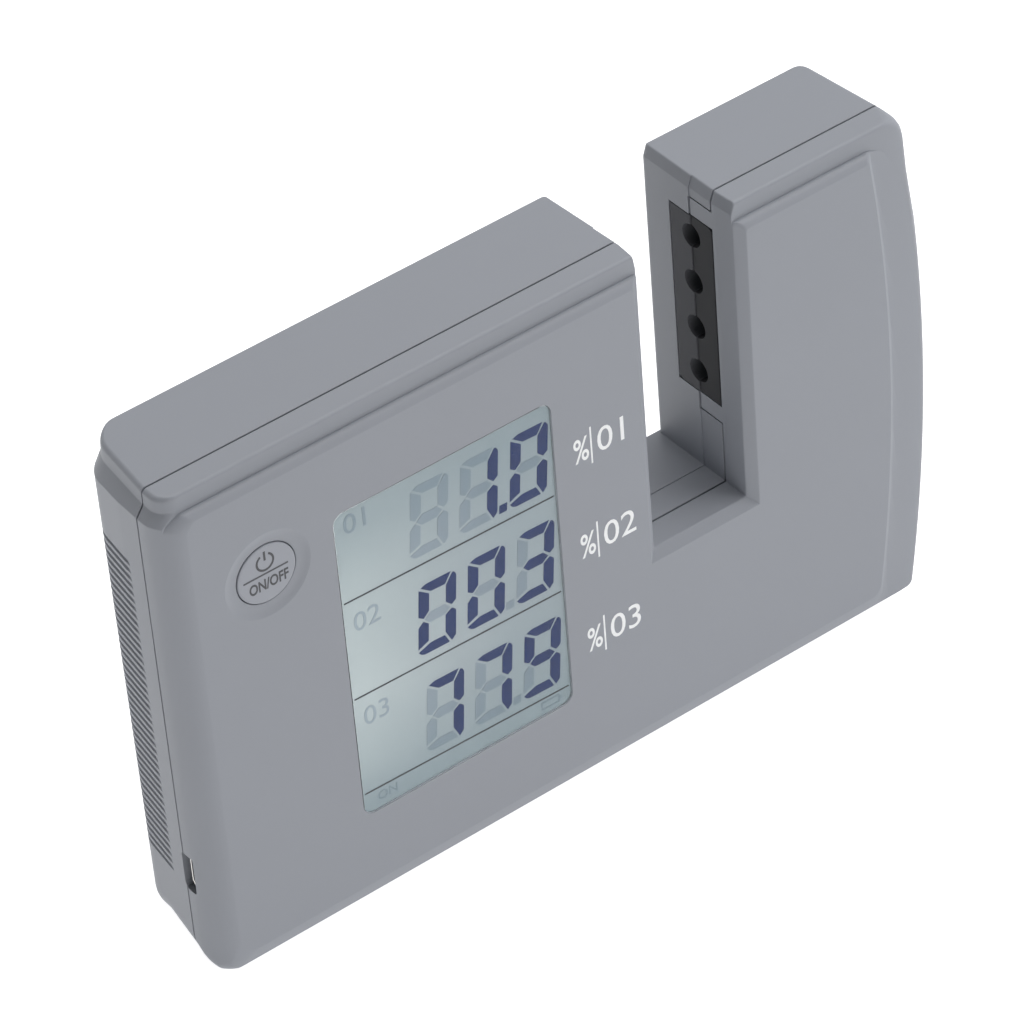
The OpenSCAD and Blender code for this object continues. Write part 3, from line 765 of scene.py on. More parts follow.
    def publish(
        self, name: str, body: Body, finish: str, slot: str = "", replaces: Sequence[str] = ()
    ) -> Piece:
        """Makes the piece's object in metres and ties it to the frame.

        Args:
            name: Name of the piece.
            body: Body that it rides on.
            finish: Key of its finish.
            slot: Material slot of the record; not used.
            replaces: CAD nodes that it stands for.

        Returns:
            The object.
        """
        bmesh.ops.scale(self.bm, vec=(MM, MM, MM), verts=list(self.bm.verts))
        self.tidy()
        for face in self.bm.faces:
            face.smooth = True
        for edge in self.bm.edges:
            edge.smooth = edge.is_manifold and edge.calc_face_angle(0) < self.crease
        mesh = bpy.data.meshes.new(name)
        self.bm.to_mesh(mesh)
        self.bm.free()
        piece = bpy.data.objects.new(name, mesh)
        bpy.context.scene.collection.objects.link(piece)
        mesh.materials.append(Palette.get(finish))
        even = piece.modifiers.new("even_normals", "WEIGHTED_NORMAL")
        even.keep_sharp = True
        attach(piece, body.value)
        if replaces:
            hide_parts(*replaces)
        LOG.info("%s: %d faces on %s", name, len(mesh.polygons), body.value)
        return piece


@dataclass
class Corner:
    """One corner of an outline, with its rounding and the plain points after it."""

    x: float
    z: float
    r: float
    steps: int
    after: Loop = field(default_factory=list)


def rounded(corners: Sequence[Corner]) -> Loop:
    """Outline with its corners rounded, always with the same number of points.

    Args:
        corners: Corners in order.

    Returns:
        The outline's points.
    """
    plain: list[tuple[Vector, Corner | None]] = []
    for corner in corners:
        plain.append((Vector((corner.x, corner.z)), corner))
        plain.extend((Vector(p), None) for p in corner.after)
    points: Loop = []
    for i, (here, corner) in enumerate(plain):
        if corner is None:
            points.append(tuple(here))
            continue
        before, after = plain[i - 1][0] - here, plain[(i + 1) % len(plain)][0] - here
        points.extend(bend(here, before, after, corner.r, corner.steps))
    return points


def bend(here: Vector, before: Vector, after: Vector, r: float, steps: int) -> Loop:
    """Arc that rounds one corner.

    Args:
        here: The corner.
        before: Way to the point before it.
        after: Way to the point after it.
        r: Radius wanted.
        steps: Number of steps along the arc.

    Returns:
        The arc's points.
    """
    a, b = before.normalized(), after.normalized()
    half = math.acos(max(-1.0, min(1.0, a.dot(b)))) / 2
    room = ROOM * min(before.length, after.length)
    if half > STRAIGHT:
        reach = min(STRAIGHT_REACH, room)
        first, last = here + a * reach, here + b * reach
        shares = [i / steps * 2 for i in range(steps + 1)]
        return [tuple(here.lerp(first, 1 - t) if t <= 1 else here.lerp(last, t - 1)) for t in shares]
    reach = min(r / math.tan(half), room)
    r = reach * math.tan(half)
    centre = here + (a + b).normalized() * (r / math.sin(half))
    start, end = here + a * reach - centre, here + b * reach - centre
    sweep = start.angle_signed(end)
    return [tuple(centre + Matrix.Rotation(-sweep * i / steps, 2) @ start) for i in range(steps + 1)]


def shrink(loop: Loop, by: float) -> Loop:
    """Draws a convex outline in.

    Args:
        loop: The outline.
        by: Distance in on every side.

    Returns:
        The smaller outline.
    """
    points = [Vector(p) for p in loop]
    result: Loop = []
    for i, here in enumerate(points):
        a = (points[i - 1] - here).normalized()
        b = (points[(i + 1) % len(points)] - here).normalized()
        half = math.acos(max(-1.0, min(1.0, a.dot(b)))) / 2
        result.append(tuple(here + (a + b).normalized() * (by / math.sin(half))))
    return result


def graded(table: Table, at: float) -> float:
    """Value of a table between its entries.

    Args:
        table: Places in rising order and their values.
        at: The place wanted.

    Returns:
        The value there, or the nearest end's.
    """
    for (a, low), (b, high) in zip(table, table[1:]):
        if at <= b:
            return low + (high - low) * max(0.0, at - a) / (b - a)
    return table[-1][1]


@dataclass(frozen=True)
class Wall:
    """One wall of the slot, with the way into the case from it."""

    x: float
    way: int

    def into(self, distance: float) -> float:
        """X at a distance into the case."""
        return self.x + self.way * distance

    def span(self, start: float, end: float) -> Pair:
        """Two distances into the case, as rising X."""
        return tuple(sorted((self.into(start), self.into(end))))


@dataclass(frozen=True)
class Skin:
    """Main lines of an outline: left side, cap's left side, top, underside, slot's walls and its floor."""

    left: float
    cap: float
    top: float
    foot: float
    slot: Triple


@dataclass
class Case:
    """Shape of the two-part case: every outline at a depth behind the front face.

    A table holds depths and the value at each.
    """

    width = 146.7
    thickness = 23.5
    height = 95.0
    wall: float = 2.0
    seam: Pair = (6.15, 6.45)
    lean_from: float = 6.3
    plateau: float = 0.03
    edge_r: float = 1.2
    # Softening of creases: the front edge's lead-in, the reach of the mean, and samples to each side.
    lead: float = 0.14
    soften: float = 0.13
    samples: int = 3
    # Left side and its grip. Grooves: lowest foot, height, pitch and count; then edge, foot and share.
    front_r: float = 5.0
    rear_r: float = 5.8
    lean: float = math.radians(7)
    lower_r: Table = (
        (0, 3.5), (0.6, 2.2), (2, 2.1), (4, 3.9), (6.3, 5.8), (10, 6.3), (15, 7.0), (20.5, 5.4), (23.5, 3.0),
    )
    least_r: float = 1.0
    splay: Table = ((6.3, 0.0), (12.0, 0.4))
    groove: tuple[float, float, float, int] = (16.0, 0.85, 1.517, 42)
    groove_depth: float = 0.4
    groove_form: Triple = (0.08, 0.25, 0.9)
    grip: Pair = (10.95, 22.4)
    # Top: cap, neck, shoulder, band and lip; pairs of radii are for the panel in front and for the rest.
    cap_in: float = 1.4
    cap_r: float = 3.0
    cap_corner_r: Pair = (1.5, 0.9)
    neck: float = 92.2
    neck_r: float = 0.5
    neck_out: Table = ((6.3, 0.0), (17.0, 0.22))
    neck_share: float = 0.35
    shoulder: float = 90.2
    shoulder_r: Pair = (1.5, 0.5)
    shoulder_drop: Table = ((6.3, 0.0), (17.5, 0.6))
    band: float = 1.6
    band_r: float = 0.6
    crease: float = 91.6
    lip: float = 1.8
    lip_in: float = 2.0
    lip_fall: float = 1.9
    # Right side: bulge, border, soft corner in front, and the cap and shoulder behind it.
    bulge_r: float = 306.75
    side_points: int = 20
    right_lean: float = math.radians(5)
    right_r: float = 2.4
    border: Table = ((0, 9.1), (1.5, 7.65), (1.6, 2.2))
    border_r: float = 2.2
    border_foot: Pair = (0.7, 0.45)
    crown_reach: Pair = (0.5, 5.5)
    crown_share: Pair = (0.8, 0.3)
    right_cap: Table = ((1.9, 0.15), (6.3, 1.75))
    right_cap_r: Table = ((1.9, 5.3), (6.3, 0.9))
    right_drop: Table = ((1.9, 9.0), (6.3, 0.0))
    right_end: float = 0.6
    right_shoulder: Pair = (0.4, 2.2)
    # Underside.
    panel_r: Pair = (2.0, 0.8)
    foot: Pair = (2.8, 0.6)
    # Slot: walls, floor, bevel in front, mouth at the top and ledge behind the seam.
    slot: Pair = (89.7, 107.9)
    slot_floor: float = 37.3
    slot_lean: float = math.radians(3)
    slot_wall: float = 2.2
    slot_bevel: Pair = (1.7, 1.4)
    slot_corner_r: float = 0.12
    flare: float = 0.3
    flare_end: float = 5.3
    sill_r: float = 0.3
    mouth: Triple = (0.3, 0.7, 2.0)
    panel_mouth: Triple = (0.15, 0.2, 0.6)
    mouth_r: Pair = (0.35, 1.0)
    ledge: Pair = (11.6, 0.15)

    def walls(self) -> tuple[Wall, Wall]:
        """The slot's left and right wall."""
        return Wall(self.slot[0], -1), Wall(self.slot[1], 1)

    @staticmethod
    def turn(depth: float, r: float, start: float) -> float:
        """How far in a quarter round is at a depth, where it runs into the face at the start depth."""
        along = min(r, max(0.0, r - abs(depth - start)))
        return r - math.sqrt(r * r - along * along)

    def leaning(self, depth: float, angle: float) -> float:
        """How far a wall that leans from the seam on has come in."""
        return max(0.0, depth - self.lean_from) * math.tan(angle)

    def left(self, depth: float) -> float:
        """Left side at a depth.

        Args:
            depth: Depth behind the front face.

        Returns:
            Its distance from the overall left.
        """
        if depth < self.front_r:
            return self.turn(depth, self.front_r, 0)
        return self.leaning(depth, self.lean) + self.turn(depth, self.rear_r, self.thickness)

    def lip_share(self, depth: float) -> float:
        """How far the lip under the top band has turned forward, from 0 to 1."""
        along = max(0.0, min(1.0, (self.band - depth) / self.band))
        return 1 - math.sqrt(1 - along * along)

    def cap_left(self, depth: float) -> float:
        """Left side of the cap at a depth.

        Args:
            depth: Depth behind the front face.

        Returns:
            Its distance from the overall left.
        """
        if depth < self.band:
            return self.cap_in + self.cap_r + self.lip_in * self.lip_share(depth)
        if depth < self.band + self.cap_r:
            return self.cap_in + self.turn(depth, self.cap_r, self.band)
        return self.cap_in + self.left(depth)

    def top(self, depth: float) -> float:
        """Top at a depth, or the lip's edge in front of the band.

        Args:
            depth: Depth behind the front face.

        Returns:
            Its height.
        """
        if depth < self.band:
            return self.crease - self.lip * self.lip_share(depth)
        drop = self.turn(depth, self.band_r, self.band) if depth < self.band + self.band_r else 0
        return self.height - drop - self.turn(depth, self.edge_r, self.thickness)

    def bottom(self, depth: float) -> float:
        """Height of the underside, with the bevel in front."""
        rise, reach = self.foot
        return rise * max(0.0, 1 - depth / reach) + self.turn(depth, self.edge_r, self.thickness)

    def right_in(self, depth: float) -> float:
        """Right side at a depth, with the panel's border in front.

        Args:
            depth: Depth behind the front face.

        Returns:
            Its distance in from the bulging overall right.
        """
        if depth < self.band:
            return graded(self.border, depth)
        if depth < self.band + self.border_r:
            return self.turn(depth, self.border_r, self.band)
        return self.leaning(depth, self.right_lean) + self.turn(depth, self.right_r, self.thickness)

    def right_side(self, depth: float, z: float) -> float:
        """Distance in from the right side where the border comes forward towards the foot.

        Args:
            depth: Depth behind the front face.
            z: Height above the foot.

        Returns:
            The distance in, softened over the depth.
        """
        low, come_in = self.border_foot
        share = max(0.0, 1 - z / self.crease)
        reach, end = self.band - (self.band - low) * share, self.band + self.border_r
        table = ((0, 0), (reach, self.band), (end, end))
        return self.soft(lambda d: self.right_in(graded(table, d) if d < end else d), depth) + come_in * share

    def slot_in(self, depth: float) -> float:
        """Slot's walls at a depth, bevelled in front and then slightly flared.

        Args:
            depth: Depth behind the front face.

        Returns:
            How far they stand back into the case.
        """
        wide, deep = self.slot_bevel
        if depth < deep:
            return self.flare + wide * (1 - depth / deep)
        return self.flare * max(0.0, self.flare_end - depth) / (self.flare_end - deep)

    def slot_walls(self, depth: float, inset: float) -> Triple:
        """Slot at a depth, with its leaning left wall, its ledge and its rounded rear edges.

        Args:
            depth: Depth behind the front face.
            inset: Extra distance into the case.

        Returns:
            X of the left wall, X of the right wall and height of the floor.
        """
        start, proud = self.ledge
        back = self.soft(self.slot_in, depth) + inset - (proud if depth > start else 0.0)
        rear = self.turn(depth, self.edge_r, self.thickness)
        sill = self.turn(depth, self.sill_r, self.thickness)
        left = self.slot[0] - back - rear - self.leaning(depth, self.slot_lean)
        return left, self.slot[1] + back + rear, self.slot_floor - back - sill

    def soft(self, rule: Callable[[float], float], depth: float) -> float:
        """A rule averaged over a short depth, which rounds its creases.

        Args:
            rule: One of the rules above.
            depth: Depth behind the front face.

        Returns:
            The softened value.
        """
        lead = self.lead * max(0.0, 1 - depth / self.lead) ** 2
        reach = min(self.soften, depth, self.thickness - depth)
        values = [rule(depth + reach * k / self.samples) for k in range(-self.samples, self.samples + 1)]
        return sum(values) / len(values) + lead

    def right_at(self, inset: float, z: float) -> float:
        """X of the right side, drawn in by an inset, at a height."""
        r = self.bulge_r - inset
        return self.width - self.bulge_r + math.sqrt(r * r - (z - self.height / 2) ** 2)

    def outline(self, depth: float, inset: float = 0.0, grooves: float | None = None) -> Loop:
        """Front-view outline of the outer skin at a depth.

        Args:
            depth: Depth behind the front face.
            inset: Extra distance in on every side.
            grooves: Depth of the grip's grooves here, or None for a side without them.

        Returns:
            The outline's points.
        """
        left = self.soft(self.left, depth) + inset
        cap, top = self.cap_left(depth) + inset, self.top(depth) - inset
        foot = self.soft(self.bottom, depth) + inset
        skin = Skin(left, cap, top, foot, self.slot_walls(depth, inset))
        return self._corners(skin, depth < self.band, depth, inset, grooves)

    def inner(self, depth: float, grooves: float | None = None) -> Loop:
        """Front-view outline of the inside at a depth.

        Args:
            depth: Depth behind the front face.
            grooves: As for outline.

        Returns:
            The outline's points.
        """
        front = depth < self.seam[1]
        outer = max(self.band, depth - self.wall) if front else min(self.thickness, depth + self.wall)
        wall, back = self.wall, self.slot_wall
        left = self.left(outer) + wall
        cap = max(self.cap_left(outer), left) + wall / 2
        slot = (self.slot[0] - back, self.slot[1] + back, self.slot_floor - back)
        skin = Skin(left, cap, self.top(outer) - wall, self.bottom(outer) + wall, slot)
        return self._corners(skin, False, outer, wall, None if grooves is None else 0.0)

    def _corners(self, skin: Skin, front: bool, depth: float, inset: float, grooves: float | None) -> Loop:
        """Rounds the outline's corners.

        Args:
            skin: Main lines of the outline.
            front: Whether this is in front of the top band.
            depth: Depth of the outer skin.
            inset: Extra distance in.
            grooves: Depth of the grooves, or None.

        Returns:
            The outline's points.
        """
        left, cap, top, foot = skin.left, skin.cap, skin.top, skin.foot
        slot_left, slot_right, floor = skin.slot
        mouth_left, mouth_right, mouth_h = self.panel_mouth if front else self.mouth
        fall = self.lip_fall * self.lip_share(depth) if front else 0.0
        shoulder = self.shoulder - fall - graded(self.shoulder_drop, depth) - inset / 2
        splay = graded(self.splay, depth)
        neck = top + (shoulder - top) * self.neck_share if front else self.neck - inset / 2
        neck_x = cap + (left - cap) * self.neck_share if front else cap - graded(self.neck_out, depth)
        crown = self._crown(self.right_side(depth, top) + inset, top, front, depth, inset)
        start, count = crown[0].z, self.side_points
        steps = [foot + (start - foot) * (k + 1) / (count + 1) for k in range(count)]
        side = [(self.right_at(self.right_side(depth, z) + inset, z), z) for z in (foot, *steps)]
        lower = self.panel_r[0 if depth < self.foot[1] else 1]
        edge_r, wall_r = self.mouth_r
        kind = 0 if front else 1
        return rounded([
            Corner(left, foot, max(self.least_r, graded(self.lower_r, depth) - inset), Steps.LARGE),
            Corner(*side[0], lower, Steps.SMALL, side[1:]),
            *crown,
            Corner(slot_right + mouth_right, top, edge_r, Steps.SMALL),
            Corner(slot_right, top - mouth_h, wall_r, Steps.SMALL),
            Corner(slot_right, floor, self.slot_corner_r, Steps.TINY),
            Corner(slot_left, floor, self.slot_corner_r, Steps.TINY),
            Corner(slot_left, top - mouth_h, wall_r, Steps.SMALL),
            Corner(slot_left - mouth_left, top, edge_r, Steps.SMALL),
            Corner(cap, top, self.cap_corner_r[kind], Steps.MEDIUM),
            Corner(neck_x, neck, self.neck_r, Steps.SMALL),
            Corner(left - splay, shoulder, self.shoulder_r[kind], Steps.MEDIUM,
                   self._grip_points(left, splay, grooves)),
        ])

    def _crown(self, side: float, top: float, front: bool, depth: float, inset: float) -> list[Corner]:
        """Upper right of an outline: the panel's soft corner in front, the shoulder and the cap behind it.

        Args:
            side: Inset of the right side.
            top: Height of the top.
            front: Whether this is in front of the top band.
            depth: Depth of the outer skin.
            inset: Extra distance in.

        Returns:
            Three corners from the side to the top.
        """
        if front:
            edge, end = self.border[1][1], self.border[2][1]
            least, more = self.crown_reach
            reach = least + more * max(0.0, min(1.0, (edge - side + inset) / (edge - end)))
            r, rise = (share * reach for share in self.crown_share)
            return [
                Corner(self.right_at(side, top - reach), top - reach, r, Steps.SMALL),
                Corner(self.right_at(side, top) - rise, top - rise, r, Steps.SMALL),
                Corner(self.right_at(side, top) - reach, top, r, Steps.MEDIUM),
            ]
        drop = graded(self.right_drop, depth)
        lower, share = self.right_shoulder
        low, neck = self.shoulder - lower - share * drop - inset / 2, self.neck - drop - inset / 2
        cap = self.right_at(side, neck) - graded(self.right_cap, depth)
        across = self.right_at(side, neck) - self.right_at(side, top)
        end = cap - self.right_end * drop / self.right_drop[0][1] * across
        return [
            Corner(self.right_at(side, low), low, self.neck_r, Steps.SMALL),
            Corner(cap, neck, self.neck_r, Steps.SMALL),
            Corner(end, top, graded(self.right_cap_r, depth), Steps.MEDIUM),
        ]

    def _grip_points(self, left: float, splay: float, grooves: float | None) -> Loop:
        """Points of the grip's grooves down the left side.

        Args:
            left: X of the left side at the foot.
            splay: How far the side has come out at the shoulder.
            grooves: Depth of the grooves, or None for no points.

        Returns:
            The points from the top down.
        """
        if grooves is None:
            return []
        low, tall, pitch, count = self.groove
        edge, foot, share = self.groove_form
        points: Loop = []
        for i in reversed(range(count)):
            z = low + i * pitch
            side = left - splay * z / self.shoulder
            points += [(side, z + tall), (side + grooves, z + tall - edge)]
            points += [(side + grooves * share, z + foot), (side, z)]
        return points


@dataclass
class Shells:
    """Front and rear mouldings of the case."""

    case: Case
    strips: Strips
    button: Button
    front_inside: tuple[float, ...] = (2.6, 3.4, 4.6)
    front_steps: tuple[float, ...] = (
        6.1, 6.0, 5.5, 5.3, 5.1, 4.7, 4.2, 3.8, 3.4, 3.0, 2.6, 2.3, 2.15, 2.0, 1.9, 1.8, 1.72, 1.66, 1.62,
        1.6, 1.585, 1.55, 1.5, 1.4, 1.3, 1.2, 1.05, 0.95, 0.85, 0.75, 0.6, 0.45, 0.3, 0.2, 0.13, 0.08,
    )
    rear_inside: tuple[float, ...] = (20.6, 19, 16, 12)
    rear_steps: tuple[float, ...] = (
        6.5, 6.6, 7.5, 9.0, 10.4, 10.65, 11.59, 11.61, 12.5, 13.5, 15.0, 16.0, 17.0, 17.6, 18.2, 18.8, 19.4,
        20.0, 20.5, 21.0, 21.4, 21.8, 22.1, 22.3, 22.5, 22.7, 22.9, 23.05, 23.2, 23.32, 23.42,
    )
    edge_in: float = 0.06
    back_in: float = 0.05
    fade: float = 1.2
    window: tuple[float, ...] = (29.6, 70.65, 16.75, 77.6, 2.0)
    window_flare: Table = ((-1, 0.2), (0.02, 0.12), (0.06, 0.07), (0.12, 0.03), (0.25, 0.0), (5, 0.0))
    dish: Table = (
        (0, -1), (8.2, -1), (8.0, 0.01), (7.8, 0.05), (7.55, 0.13), (7.2, 0.26), (6.8, 0.37), (6.4, 0.44),
        (6.0, 0.48), (5.6, 0.5), (5.5, 0.53), (5.45, 0.6), (5.45, 4), (0, 4),
    )
    tab: float = 3.2
    tab_root: float = 0.5
    tab_room: Pair = (0.3, 1)
    flush: float = 0.01
    gap: float = 0.15
    pocket: Pair = (-1, 3)
    inlet: tuple[Triple, ...] = ((3.95, 15.9, 0.4), (6.75, 15.9, 1.5), (6.75, 23.3, 0.5), (3.95, 23.3, 0.4))
    inlet_x: Pair = (-1, 3)
    screws: Table = ((12, 8), (12, 87.5), (75.7, 8), (75.7, 87.5), (132.2, 8), (132.2, 87.5))
    screw_recess: float = 5.5
    recess_r: float = 2.6
    recess_flare: float = 0.3
    recess_lip: Pair = (23.2, 23.6)
    recess_end: Table = ((3.2, 25), (0, 25))

    def front(self) -> Piece:
        """Builds the front moulding with its openings and the tabs beside the strips.

        Returns:
            The piece.
        """
        case, edge = self.case, self.case.seam[0]
        loops = [front_view(case.inner(d), d) for d in (case.wall, *self.front_inside, edge)]
        loops.append(front_view(case.outline(edge, self.edge_in), edge))
        loops += [front_view(case.outline(d), d) for d in (*self.front_steps, case.plateau)]
        solid = Solid().loft(loops)
        solid.combine(self.tabs(0, edge - self.tab_root), Cut.JOIN)
        openings = Solid().loft([front_view(Display.pane(self.window, m), d) for d, m in self.window_flare])
        x, z = self.button.centre
        openings.turned(place(x, 0, z), REARWARD, self.dish, Steps.FINE_TURN)
        self.side_openings(openings)
        solid.combine(openings, Cut.TAKE)
        return solid.publish("case_front", Body.CASE, "shell_grey", replaces=["front_shell"])

    def rear(self) -> Piece:
        """Builds the rear moulding with its grip, pockets and screw recesses.

        Returns:
            The piece.
        """
        case, edge = self.case, self.case.seam[1]
        back = case.thickness - case.wall
        loops = [front_view(case.inner(d, 0.0), d) for d in (back, *self.rear_inside, edge)]
        loops.append(front_view(case.outline(edge, self.edge_in, 0.0), edge))
        loops += [front_view(case.outline(d, 0, self.groove_at(d)), d) for d in self.rear_steps]
        loops.append(front_view(case.outline(case.thickness, self.back_in, 0.0), case.thickness))
        solid = Solid().loft(loops)
        margin, root = self.tab_room
        solid.combine(self.tabs(margin, edge - root), Cut.TAKE)
        openings = Solid()
        self.side_openings(openings)
        start, r, (lip, past) = case.thickness - self.screw_recess, self.recess_r, self.recess_lip
        profile = [(0, start), (r, start), (r, lip), (r + self.recess_flare, past), *self.recess_end]
        for x, z in self.screws:
            openings.turned(place(x, 0, z), REARWARD, profile, Steps.TURN)
        solid.combine(openings, Cut.TAKE)
        return solid.publish("case_rear", Body.CASE, "shell_grey", replaces=["rear_shell"])

    def groove_at(self, depth: float) -> float:
        """Depth of the grip's grooves, which fade out round the rear edge.

        Args:
            depth: Depth behind the front face.

        Returns:
            How far the grooves go in there.
        """
        start, end = self.case.grip
        if depth <= start:
            return 0.0
        return self.case.groove_depth * max(0.0, min(1.0, (end - depth) / self.fade))

    def tabs(self, margin: float, start: float) -> Solid:
        """Tabs above and below both strips.

        Args:
            margin: How much larger than the tab; at 0 they stay just behind the walls' faces.
            start: Depth where the tabs begin.

        Returns:
            The tabs as one solid.
        """
        low, high = self.strips.z
        solid = Solid()
        for wall in self.case.walls():
            x = wall.span(0, self.case.slot_wall)
            grown = (x[0] - margin, x[1] + margin) if margin else (x[0] + self.flush, x[1] - self.flush)
            for z in (low - self.gap - self.tab, high + self.gap):
                solid.block(grown, (start, self.strips.optics + margin), (z - margin, z + self.tab + margin))
        return solid

    def side_openings(self, solid: Solid) -> None:
        """Adds the inlet's opening and the pockets of both strips to a cutter.

        Args:
            solid: The cutter.
        """
        loop = rounded([Corner(f, z, r, Steps.LARGE) for f, z, r in self.inlet])
        solid.loft([side_view(loop, x) for x in self.inlet_x])
        (low, high), optics, half, gap = self.strips.z, self.strips.optics, self.strips.half, self.gap
        depth = (optics - half - gap, optics + half + gap)
        for wall in self.case.walls():
            solid.block(wall.span(*self.pocket), depth, (low - gap, high + gap))


class Segments:
    """Seven-segment figures: the bars that each one lights, the bars' outlines and the decimal point's."""

    shapes: dict[str, str] = {
        "0": "abcdef", "1": "bc", "2": "abged", "3": "abgcd", "4": "fgbc", "5": "afgcd",
        "6": "afgedc", "7": "abc", "8": "abcdefg", "9": "abcdfg", " ": "",
    }
    bars: dict[str, Table] = {
        "a": ((0.35, 13.15), (1.4, 13.55), (6.1, 13.55), (5.05, 11.65), (2.3, 11.75)),
        "b": (
            (6.45, 13.3), (6.85, 13.1), (7.18, 12.5), (7.18, 7.75), (6.34, 7.1), (5.23, 8.1),
            (5.23, 11.35),
        ),
        "c": ((6.38, 6.42), (7.2, 5.7), (7.2, 0.9), (6.44, 0.07), (5.2, 2.32), (5.2, 5.6)),
        "d": ((2.4, 1.8), (5.05, 1.75), (6.0, 0.1), (5.85, 0), (1.22, 0), (0.55, 0.3), (0.05, 0.88)),
        "e": ((0.92, 6.47), (1.96, 5.68), (1.96, 2.34), (0, 1.45), (0, 5.58)),
        "f": ((0, 12.85), (2.0, 11.45), (2.0, 8.1), (0.97, 7.05), (0, 7.7)),
        "g": ((1.2, 6.76), (2.25, 7.8), (5.0, 7.8), (6.05, 6.76), (5.0, 5.8), (2.2, 5.8)),
    }
    point: Table = ((7.55, 0.2), (9.05, 0.2), (9.05, 1.75), (7.55, 1.75))


@dataclass
class Display:
    """Window, display marks and the print beside it."""

    size: tuple[float, ...] = (29.7, 70.55, 16.87, 77.5, 1.9)
    window_depth: Pair = (0.06, 0.46)
    window_edge: Table = ((0.08, 0.0), (0.03, -0.02), (0.0, -0.08))
    glass: Table = ((0.515, 0.0), (2.02, 0.0), (2.02, 0.5), (3.0, 0.5))
    mark_depth: Pair = (0.47, 0.51)
    tilt: float = -0.025
    pivot: float = 50
    columns: Triple = (42.81, 52.26, 61.83)
    rows: Triple = (61.17, 41.77, 22.07)
    row_shift: float = -0.22
    slant: float = 0.094
    readings: tuple[str, str, str] = (" 10", "003", "779")
    point_column: int = 1
    rules: Triple = (59.45, 40.09, 20.44)
    rule_x: Pair = (30.2, 70.2)
    rule_half: float = 0.14
    captions: tuple[tuple[str, float, float, float], ...] = (
        ("01", 31.6, 72.7, 3.7), ("02", 31.6, 53.4, 3.7), ("03", 31.6, 34.3, 3.7), ("ON", 32.6, 18.2, 1.75),
    )
    cell_at: Pair = (64.7, 17.75)
    cell_bars: tuple[tuple[float, float, float, float], ...] = (
        (0, 3.6, 0, 0.25), (0, 3.6, 1.35, 1.6), (0, 0.25, 0.26, 1.34), (3.35, 3.6, 0.26, 1.34),
        (3.61, 3.95, 0.5, 1.1),
    )
    print_depth: Pair = (0.008, 0.04)
    labels: tuple[tuple[str, float], ...] = (("01", 62.9), ("02", 43.9), ("03", 24.6))
    label_x: tuple[float, float, float, float] = (74.35, 77.25, 77.6, 78.95)
    label_h: float = 4.7
    label_bold: float = 0.01
    label_bar: Triple = (0.3, 1.3, 5.9)

    @staticmethod
    def pane(size: Sequence[float], margin: float) -> Loop:
        """Rounded rectangle of a window.

        Args:
            size: Left, right, low, high and corner radius.
            margin: How much larger.

        Returns:
            The outline's points.
        """
        left, right, low, high, r = size
        left, right, low, high = left - margin, right + margin, low - margin, high + margin
        corners = ((left, low), (right, low), (right, high), (left, high))
        return rounded([Corner(x, z, r + margin, Steps.LARGE) for x, z in corners])

    def window(self) -> Piece:
        """Builds the clear window with softened edges.

        Returns:
            The piece.
        """
        front, back = self.window_depth
        steps = ((back, 0.0), *((front + d, m) for d, m in self.window_edge))
        solid = Solid().loft([front_view(self.pane(self.size, m), d) for d, m in steps])
        return solid.publish("window_pane", Body.CASE, "window_clear", replaces=["display_window"])

    def face(self) -> Piece:
        """Builds the display's glass, stepped so that it comes up close behind the window."""
        solid = Solid().loft([front_view(self.pane(self.size, m), d) for d, m in self.glass])
        return solid.publish("display_face", Body.CASE, "lcd", replaces=["lcd_glass"])

    def spot(self, x: float, z: float) -> Pair:
        """A place on the display, which sits slightly turned in its window."""
        return x, z + self.tilt * (x - self.pivot)

    def segment(self, solid: Solid, outline: Table, origin: Pair) -> None:
        """Adds one bar of a slanted digit to a solid, from its upright outline and the digit's corner."""
        points = [self.spot(origin[0] + x + self.slant * z, origin[1] + z) for x, z in outline]
        solid.loft([front_view(points, d) for d in self.mark_depth])

    def marks(self) -> list[Piece]:
        """Builds the lit digits, the unlit ones and the ruled lines.

        Returns:
            The three pieces.
        """
        lit, ghost, ruled = Solid(), Solid(), Solid()
        for row, reading in enumerate(self.readings):
            for column, figure in enumerate(reading):
                origin = (self.columns[column] + self.row_shift * row, self.rows[row])
                for key, outline in Segments.bars.items():
                    self.segment(lit if key in Segments.shapes[figure] else ghost, outline, origin)
                if column == self.point_column:
                    self.segment(ghost if row else lit, Segments.point, origin)
        self.battery(ghost)
        for words, left, low, tall in self.captions:
            ghost.lettered(words, (left,), (low, low + tall), self.mark_depth)
        (left, right), half = self.rule_x, self.rule_half
        for z in self.rules:
            corners = ((left, z - half), (right, z - half), (right, z + half), (left, z + half))
            line = [self.spot(*corner) for corner in corners]
            ruled.loft([front_view(line, d) for d in self.mark_depth])
        return [
            lit.publish("display_digits", Body.CASE, "segment_ink", "lcd"),
            ghost.publish("display_unlit", Body.CASE, "ghost_ink", "lcd"),
            ruled.publish("display_rules", Body.CASE, "line_ink", "lcd"),
        ]

    def battery(self, solid: Solid) -> None:
        """Adds the plain unlit battery sign at the foot of the display.

        Args:
            solid: Solid that takes it.
        """
        x, z = self.cell_at
        for left, right, low, high in self.cell_bars:
            solid.block((x + left, x + right), self.mark_depth, (z + low, z + high))

